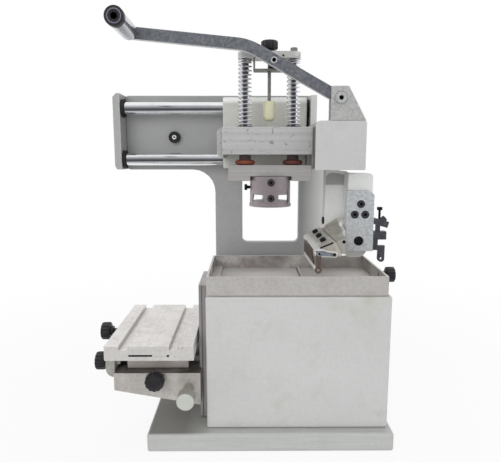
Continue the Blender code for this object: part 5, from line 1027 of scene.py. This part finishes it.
NYLON_LENGTH = 0.0285
ROD_IN_NYLON = 0.003
STOP_KNOB_DEPTH = 0.0160
low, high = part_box("stop_knob")
rod_foot = min(low.z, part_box("stop_tip")[0].z + NYLON_LENGTH - ROD_IN_NYLON)
turned(
    "stop_rod", ((low.x + high.x) / 2, (low.y + high.y) / 2, rod_foot), UP,
    [(0.0022, 0), (0.0025, 0.0004), (0.0025, high.z - rod_foot - STOP_KNOB_DEPTH)],
    "stop_control", BAIL_STEEL, "spring_steel", "stop_knob",
)

# %% [markdown]
# ## Screws
# Most joints are held by socket cap screws: a short cylinder with a hexagonal pocket. The pocket
# is a real recess, so that it stays dark from every side, and its inside is near black, painted
# shade. A small hole that is too deep to see into is only a black disc, which paints its shade.

# %% Screws
POCKET_SHARE = 0.56
HEAD_SUNK = 0.0006


def cap_screw(name, place, direction, radius, height, body, material=BLACK_STEEL, slot="dark_steel"):
    """The head of a socket cap screw that stands on a face."""
    pocket = radius * POCKET_SHARE
    profile = [
        (radius, -HEAD_SUNK), (radius, height * 0.85), (radius * 0.92, height), (pocket * 1.06, height),
        (pocket, height - 0.0003, "hexagon"), (pocket, height * 0.35, "hexagon"),
    ]
    turned(name, place, direction, profile, body, material, slot, inner=1)


def black_hole(name, place, direction, radius, body, rise=0.0002, depth=0.0004):
    """The mouth of a small hole: a black disc that paints its shade, standing out by rise and sunk by depth.
    """
    profile = [(radius, -depth), (radius, rise), (radius * 0.4, rise)]
    turned(name, place, direction, profile, body, POCKET_BLACK, "dark_steel")


def sunk_screw(name, place, radius, body):
    """A socket screw in a counterbore in a face that looks to the front. The counterbore is a black disc round
    the head, painted shade.
    """
    black_hole(name + "_bore_shade", place, FRONT, radius, body)
    cap_screw(name, place, FRONT, radius * 0.82, 0.0014, body, SCREW_STEEL)


CROSSBAR_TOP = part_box("crossbar")[1].z
for side, (x, y) in PRESS_RODS.items():
    cap_screw(side + "_rod_screw", (x, y, CROSSBAR_TOP), UP, 0.0052, 0.0066, "press_head", BAIL_STEEL,
              "zinc_plate")
BLOCK_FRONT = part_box("scraper_block")[0].y
for index, (x, z) in enumerate(((0.1335, 0.3520), (0.1247, 0.3364), (0.1401, 0.3364)), 1):
    sunk_screw(f"block_screw_{index}", (x, BLOCK_FRONT, z), 0.0058, "carriage")
HOLDER_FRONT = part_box("pad_holder")[0].y
for index, z in enumerate((0.3834, 0.3606), 1):
    sunk_screw(f"holder_screw_{index}", (0.0010, HOLDER_FRONT, z), 0.0050, "press_head")

# %% [markdown]
# The lever turns on one pin and carries its roller on another. Both are turned in the place of
# the CAD pins. Each profile starts at the hidden end, so its last steps are the face that one
# sees. A washer lies under the pivot's head, with a dark ring round it that paints the shade of a
# narrow gap.

# %% Pins
foot, end = span_of("roller_pin", FRONT)
turned(
    "roller_pin_head", foot, FRONT,
    [
        (0.004, 0), (0.004, end - 0.0030), (0.0045, end - 0.0030), (0.0045, end - 0.0005),
        (0.0042, end), (0.0030, end), (0.0028, end - 0.0002), (0.0028, end - 0.0055),
    ],
    "lever", PLATED_STEEL, "zinc_plate", "roller_pin", inner=1,
)
foot, end = span_of("lever_pivot_pin", FRONT)
turned(
    "pivot_screw", foot, FRONT,
    [
        (0.005, 0), (0.005, end - 0.0030), (0.0070, end - 0.0030), (0.0070, end - 0.0006),
        (0.0064, end), (0.0052, end - 0.0004), (0.0037, end - 0.0004),
        (0.0035, end - 0.0008, "hexagon"), (0.0035, end - 0.0050, "hexagon"),
    ],
    "carriage", PLATED_STEEL, "zinc_plate", "lever_pivot_pin", inner=1,
)
bracket_face = (foot.x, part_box("lever_bracket")[0].y, foot.z)
turned(
    "pivot_washer", bracket_face, FRONT,
    [(0.0082, -0.0034), (0.0082, 0.0006), (0.0078, 0.0009), (0.0066, 0.0009), (0.0066, -0.0030)],
    "carriage", PLATED_STEEL, "zinc_plate",
)
# A dark ring round the washer: the painted shade of a narrow gap.
turned(
    "pivot_washer_gap_shade", bracket_face, FRONT,
    [(0.0089, -0.0034), (0.0089, 0.0001), (0.0080, 0.0001), (0.0080, -0.0030)],
    "carriage", DIRT_AND_SHADE_FILM, "zinc_plate",
)
print("pivot pin", round(end, 4), "m long")

# %% [markdown]
# The grip's black cap has rings in its face and one grey line, and the pad's thumb screw has a
# knurled head. A knurl is a fluted outline with many shallow flutes.

# %% Cap and small controls
CAP_GROOVE = 0.0012

foot, end = span_of("grip_cap", FRONT)
turned(
    "grip_cap_ringed", foot, FRONT,
    [
        (0.0122, 0), (0.0122, 0.0078), (0.0112, 0.0090), (0.0094, 0.0090), (0.0090, 0.0080),
        (0.0078, 0.0080), (0.0074, 0.0088), (0.0060, 0.0088), (0.0056, 0.0080), (0.0048, 0.0080),
        (0.0046, 0.0076, "hexagon"), (0.0044, 0.0068, "hexagon"),
    ],
    "lever", BLACK_PLASTIC, "black_plastic", "grip_cap",
)
turned(
    "grip_cap_line", (foot.x, foot.y - end + CAP_GROOVE, foot.z), FRONT,
    [(0.0091, -0.0006), (0.0091, 0.0005), (0.0077, 0.0005), (0.0077, -0.0006)],
    "lever", CAP_RING, "black_plastic",
)
turned(
    "thumb_screw_knurled", span_of("pad_thumb_screw", LEFT)[0], LEFT,
    [
        (0.002, 0), (0.002, 0.0100), (0.0024, 0.0102), (0.0024, 0.0131), (0.0042, 0.0133, "fluted"),
        (0.0045, 0.0137, "fluted"), (0.0045, 0.0170, "fluted"), (0.0041, 0.0175), (0.0015, 0.0175),
    ],
    "pad_screw", BLACK_STEEL, "dark_steel", "pad_thumb_screw", flutes=16,
)
turned(
    "adjuster_screw", span_of("adjuster_bolt", UP)[0], UP,
    [
        (0.0018, 0), (0.0018, 0.0220), (0.0040, 0.0220), (0.0040, 0.0260), (0.0036, 0.0265),
        (0.0022, 0.0265), (0.0021, 0.0262, "hexagon"), (0.0021, 0.0240, "hexagon"),
    ],
    "carriage", BLACK_STEEL, "dark_steel", "adjuster_bolt", inner=1,
)
print("grip cap", round(end, 4), "m deep")

# %% [markdown]
# ## Buffers, stop tip and spring seats
# Two rubber buffers stop the head softly. They are lens-shaped discs with a round rim. The nylon
# tip is a turned bar with a rounded nose, and dark washers carry the springs.

# %% Buffers, nylon tip and washers
WASHER_THICKNESS = 0.0016
WASHER_FOOT = SPRING_FOOT - SPRING_GAP - WASHER_THICKNESS

for side, material in (("left", LEFT_BUFFER_RUBBER), ("right", RIGHT_BUFFER_RUBBER)):
    node = side + "_rubber_buffer"
    turned(
        side + "_buffer", span_of(node, UP)[0], UP,
        [
            (0.0062, 0), (0.0112, 0), (0.0138, 0.0009), (0.0148, 0.0025), (0.0149, 0.0038),
            (0.0143, 0.0054), (0.0126, 0.0068), (0.0098, 0.0075), (0.0088, 0.0080), (0.0086, 0.0100),
            (0.0086, 0.0146), (0.0062, 0.0147),
        ],
        "press_head", material, "red_rubber", node, inner=3, second=BUFFER_NECK,
    )
turned(
    "nylon_tip", span_of("stop_tip", UP)[0], UP,
    [
        (0.0015, 0.0000), (0.0042, 0.0004), (0.0064, 0.0017), (0.0081, 0.0040), (0.0088, 0.0064),
        (0.0090, 0.0090), (0.0090, NYLON_LENGTH - 0.0014), (0.0084, NYLON_LENGTH),
        (0.0030, NYLON_LENGTH), (0.0028, NYLON_LENGTH - 0.0004), (0.0028, NYLON_LENGTH - 0.0060),
    ],
    "stop_screw", NYLON, "nylon", "stop_tip",
)
for side, (x, y) in PRESS_RODS.items():
    turned(
        side + "_spring_washer", (x, y, WASHER_FOOT), UP,
        [(0.0062, 0), (0.0136, 0), (0.0137, 0.0003), (0.0137, 0.0013), (0.0134, WASHER_THICKNESS),
         (0.0062, WASHER_THICKNESS)],
        "carriage", BLACK_STEEL, "dark_steel",
    )
print("nylon tip", NYLON_LENGTH, "m long")

# %% [markdown]
# ## The scraper's small parts
# The doctor blade is thin steel. It hangs in the clamp and bends towards the tray, and its lower
# edge is ground bright, a pale strip with a painted glint. It is skewed a little, so its far outline
# differs from its near one.

# %% Blade
BLADE_NEAR, BLADE_FAR = (corner.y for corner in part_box("doctor_blade"))

flat_piece(
    "doctor_blade_bent", "y",
    [(0.0599, 0.2887), (0.0614, 0.2887), (0.0614, 0.2818), (0.0648, 0.2652), (0.0633, 0.2647),
     (0.0599, 0.2814)],
    BLADE_NEAR, BLADE_FAR, "scraper", BLADE_STEEL, "inked_steel", "doctor_blade", rounding=0.0002,
    far_outline=[(0.0622, 0.2887), (0.0637, 0.2887), (0.0637, 0.2818), (0.0640, 0.2627),
                 (0.0625, 0.2622), (0.0620, 0.2814)],
)
flat_piece(
    "blade_edge", "y", [(0.0628, 0.2656), (0.0649, 0.2662), (0.0664, 0.2582), (0.0645, 0.2576)],
    BLADE_NEAR, BLADE_FAR, "scraper", GROUND_STEEL_PAINTED_GLINT, "spring_steel", rounding=0.0002,
    far_outline=[(0.0616, 0.2634), (0.0638, 0.2640), (0.0652, 0.2560), (0.0632, 0.2554)],
)
print("blade", round(BLADE_FAR - BLADE_NEAR, 4), "m long")

# %% [markdown]
# Three cap screws close the clamp, a small steel plate with a bright rim, a painted glint, shuts
# its near end, and a dark seam of rust and painted shade runs along its top. The casting that
# carries it rises in a saddle towards the arm.

# %% Clamp and carrier
CLAMP_NEAR, CLAMP_FAR = (corner.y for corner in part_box("blade_clamp"))
CARRIER_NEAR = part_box("scraper_carrier")[0].y
RIM_FACE = CLAMP_NEAR - 0.0012
PLATE_FACE = CLAMP_NEAR - 0.0044
SCREW_LEAN = (-0.467, 0, 0.883)

flat_piece(
    "clamp_end_rim", "y",
    [(0.0607, 0.2862), (0.0662, 0.2915), (0.0727, 0.2922), (0.0803, 0.2895), (0.0882, 0.2892),
     (0.0936, 0.2868), (0.0918, 0.2806), (0.0645, 0.2813)],
    RIM_FACE, CLAMP_NEAR - 0.0002, "scraper", GROUND_STEEL_PAINTED_GLINT, "zinc_plate",
)
flat_piece(
    "clamp_end_plate", "y",
    [(0.0625, 0.2862), (0.0668, 0.2903), (0.0725, 0.2909), (0.0800, 0.2883), (0.0875, 0.2878),
     (0.0916, 0.2864), (0.0903, 0.2824), (0.0655, 0.2830)],
    PLATE_FACE, RIM_FACE, "scraper", END_PLATE_STEEL, "zinc_plate",
)
# A black strip that paints the shade of the clamp's slot.
flat_piece(
    "clamp_slot", "y", [(0.0690, 0.2931), (0.0686, 0.2949), (0.0868, 0.3026), (0.0874, 0.3007)],
    RIM_FACE, CLAMP_NEAR + 0.0005, "scraper", POCKET_BLACK, "dark_steel", rounding=0.0001,
)
turned(
    "end_plate_washer", (0.0885, PLATE_FACE, 0.2851), FRONT,
    [(0.0026, 0), (0.0026, 0.0004), (0.0012, 0.0004), (0.0011, 0.0001)],
    "scraper", BRASS, "zinc_plate", inner=1,
)
black_hole("end_plate_hole", (0.0673, PLATE_FACE, 0.2863), FRONT, 0.0016, "scraper", rise=0.0001)
flat_piece(
    "clamp_seam", "y", [(0.0906, 0.3014), (0.0920, 0.3021), (0.0918, 0.3026), (0.0904, 0.3018)],
    CLAMP_NEAR, CLAMP_FAR, "scraper", RUST_FILM, "dark_steel", rounding=0.0001,
)
for index, y in enumerate((0.005, -0.036, -0.075), 1):
    cap_screw(f"clamp_screw_{index}", (0.0778, y, 0.2990), SCREW_LEAN, 0.0045, 0.0048, "scraper")
flat_piece(
    "carrier_saddle", "y", [(0.0918, 0.2980), (0.0918, 0.3024), (0.1124, 0.3134), (0.1128, 0.2980)],
    -0.0645, -0.0125, "scraper", CARRIER_METAL, "cast_aluminium", rounding=0.0006,
    far_outline=[(0.0889, 0.2980), (0.0889, 0.3128), (0.1096, 0.3255), (0.1160, 0.2980)],
)
black_hole("carrier_hole", (0.1020, CARRIER_NEAR, 0.3026), FRONT, 0.0023, "scraper")
turned(
    "carrier_nut", (0.1098, -0.0420, 0.3165), (-0.15, -0.35, 1),
    [(0.0032, 0, "hexagon"), (0.0032, 0.0056, "hexagon"), (0.0027, 0.0062), (0.0010, 0.0062)],
    "scraper", GROUND_STEEL_PAINTED_GLINT, "zinc_plate",
)

# %% [markdown]
# ## Arm and cover
# The arm carries a thin wear plate, and above it lies a darker plate in the pocket of the casting,
# a painted shadow under the cover. Where the carriage's head meets the side cover, the cover's side
# carries a dark film of dirt and painted shade. A thin darker line runs along the pad plate's front.

# %% Arm, cover and pad plate parts
ARM_FACE = -0.0101
LINE_LOW, LINE_HIGH = 0.3996, 0.4003

flat_piece(
    "arm_wear_plate", "y", rectangle(0.0894, 0.1256, 0.3125, 0.3765),
    ARM_FACE - 0.0011, ARM_FACE, "carriage", ARM_PAINT, "grey_paint", rounding=0.0004,
)
# A darker plate above the wear plate: a painted shadow under the cover.
flat_piece(
    "arm_pocket", "y",
    [(0.0894, 0.3772), (0.1238, 0.3772), (0.1238, 0.3862), (0.1215, 0.3896), (0.1170, 0.3925),
     (0.1100, 0.3955), (0.1000, 0.3962), (0.0935, 0.3945), (0.0894, 0.3890)],
    ARM_FACE - 0.0005, ARM_FACE, "carriage", BRACKET_PAINT, "grey_paint", rounding=0.0001,
)
cap_screw("arm_screw", (0.0890, -0.0035, 0.3200), LEFT, 0.0058, 0.0026, "carriage")
turned(
    "adjuster_barrel", (0.1606, -0.0500, 0.3192), (0.786, 0, 0.618),
    [(0.0038, 0), (0.0046, 0.0006), (0.0046, 0.0166), (0.0040, 0.0172), (0.0022, 0.0172), (0.0020, 0.0160)],
    "carriage", GREY_STEEL, "dark_steel", inner=1,
)
# A dark film on the cover's left side: dirt and painted shade.
low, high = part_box("side_cover")
flat_piece(
    "cover_side_dirt_and_shade", "x", rectangle(low.y + 0.001, -0.0655, low.z + 0.002, high.z - 0.008),
    low.x - 0.0002, low.x + 0.0002, "carriage", DIRT_AND_SHADE_FILM, "grey_paint", rounding=0.0001,
)
low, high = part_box("pad_plate")
flat_piece(
    "pad_plate_line", "y", rectangle(low.x + 0.001, high.x - 0.001, LINE_LOW, LINE_HIGH),
    low.y - 0.0002, low.y + 0.0004, "press_head", BRACKET_PAINT, "grey_paint", rounding=0.0001,
)
print("pad plate from", round(low.z, 4), "to", round(high.z, 4), "m, its line at", LINE_LOW)

# %% [markdown]
# The tray's rib parts the plate seat from the ink well. A bright strip lies along its left edge, and
# dark strips lie beside it on both its sides. Two small screws hold the tray at its rear left.

# %% Tray parts
TRAY_LOW, TRAY_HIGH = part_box("ink_tray")
RIB_LEFT, RIB_RIGHT = 0.0501, 0.0541
RIB_TOP, WELL_FLOOR = 0.2370, 0.2335
TRAY_WALL = 0.004

for name, left, right, top, material in (
    ("rib_edge", RIB_LEFT + 0.0002, RIB_LEFT + 0.0014, RIB_TOP, PLATED_STEEL),
    ("rib_dark_strip", RIB_RIGHT + 0.0001, RIB_RIGHT + 0.0018, WELL_FLOOR, DIRT_AND_SHADE_FILM),
    ("seat_dark_strip", RIB_LEFT - 0.0014, RIB_LEFT - 0.0001, WELL_FLOOR, DIRT_AND_SHADE_FILM),
):
    flat_piece(
        name, "z", rectangle(left, right, TRAY_LOW.y + TRAY_WALL, TRAY_HIGH.y - TRAY_WALL),
        top - 0.0003, top + 0.0002, "frame", material, "cast_aluminium", rounding=0.0001,
    )
for index, (x, z) in enumerate(((-0.0845, 0.2484), (-0.0739, 0.2440)), 1):
    turned(
        f"tray_screw_{index}", (x, TRAY_HIGH.y - 0.0030, z), FRONT,
        [(0.0030, -0.0005), (0.0030, 0.0010), (0.0024, 0.0016), (0.0008, 0.0017)],
        "frame", PLATED_STEEL, "zinc_plate",
    )
print("tray from", round(TRAY_LOW.x, 4), "to", round(TRAY_HIGH.x, 4), "m")

# %% [markdown]
# ## Table, knee and stops
# The table slides on a dovetail. A strip closes the dovetail's front, with a black slit over it,
# painted shade, where the gib sits, and small screws and washers finish the controls.

# %% Table and knee parts
TABLE_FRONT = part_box("work_table")[0].y
STRIP_FACE, STRIP_BACK = TABLE_FRONT + 0.0003, TABLE_FRONT + 0.0060
KNOB_HOLE_BACK = 0.0163
STOP_HEAD_SUNK = 0.0010

flat_piece(
    "dovetail_strip", "y", [(-0.2000, 0.1415), (-0.1395, 0.1415), (-0.1395, 0.1472), (-0.1965, 0.1472)],
    STRIP_FACE, STRIP_BACK, "table", TABLE_METAL, "milled_aluminium",
)
flat_piece(
    "gib_end", "y", [(-0.1650, 0.1474), (-0.1432, 0.1474), (-0.1460, 0.1500), (-0.1650, 0.1500)],
    STRIP_FACE, STRIP_BACK, "table", TABLE_METAL, "milled_aluminium", rounding=0.0002,
)
flat_piece(
    "gib_slit", "y", [(-0.1950, 0.1472), (-0.1650, 0.1472), (-0.1650, 0.1502), (-0.1930, 0.1502)],
    TABLE_FRONT + 0.0012, STRIP_BACK, "table", POCKET_BLACK, "dark_steel", rounding=0.0001,
)
black_hole("gib_hole", (-0.1432, TABLE_FRONT, 0.1480), FRONT, 0.0012, "table", rise=0.0001, depth=0.0010)
flat_piece(
    "screw_support", "x", rectangle(-0.0880, -0.0820, 0.1150, 0.1266),
    -0.2285, -0.2228, "knee", KNEE_METAL, "cast_aluminium", rounding=0.0006,
)
flat_piece(
    "screw_collar", "x", rectangle(-0.0810, -0.0700, 0.1120, 0.1250),
    -0.2182, -0.2115, "slide", BLACK_STEEL, "dark_steel", rounding=0.0006,
)
foot, _ = span_of("height_knob", LEFT)
knob_hole = (foot.x, KNOB_FACE + KNOB_HOLE_BACK, foot.z)
black_hole("height_knob_hole", knob_hole, RIGHT, 0.0015, "height_control", rise=0.0001, depth=0.0006)
foot, end = span_of("beam_stop_bumper", FRONT)
turned(
    "stop_screw_head", (foot.x, foot.y - end + STOP_HEAD_SUNK, foot.z), FRONT,
    [(0.0036, -0.0010), (0.0036, 0.0010), (0.0032, 0.0014), (0.0019, 0.0014), (0.0018, 0.0011, "hexagon"),
     (0.0018, 0.0002, "hexagon")],
    "frame", GROUND_STEEL_PAINTED_GLINT, "zinc_plate", inner=1,
)
CROSSBAR_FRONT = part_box("crossbar")[0].y
black_hole("crossbar_set_screw", (0.0182, CROSSBAR_FRONT, 0.5629), FRONT, 0.0015, "press_head")
print("table front at", round(TABLE_FRONT, 4), "m")
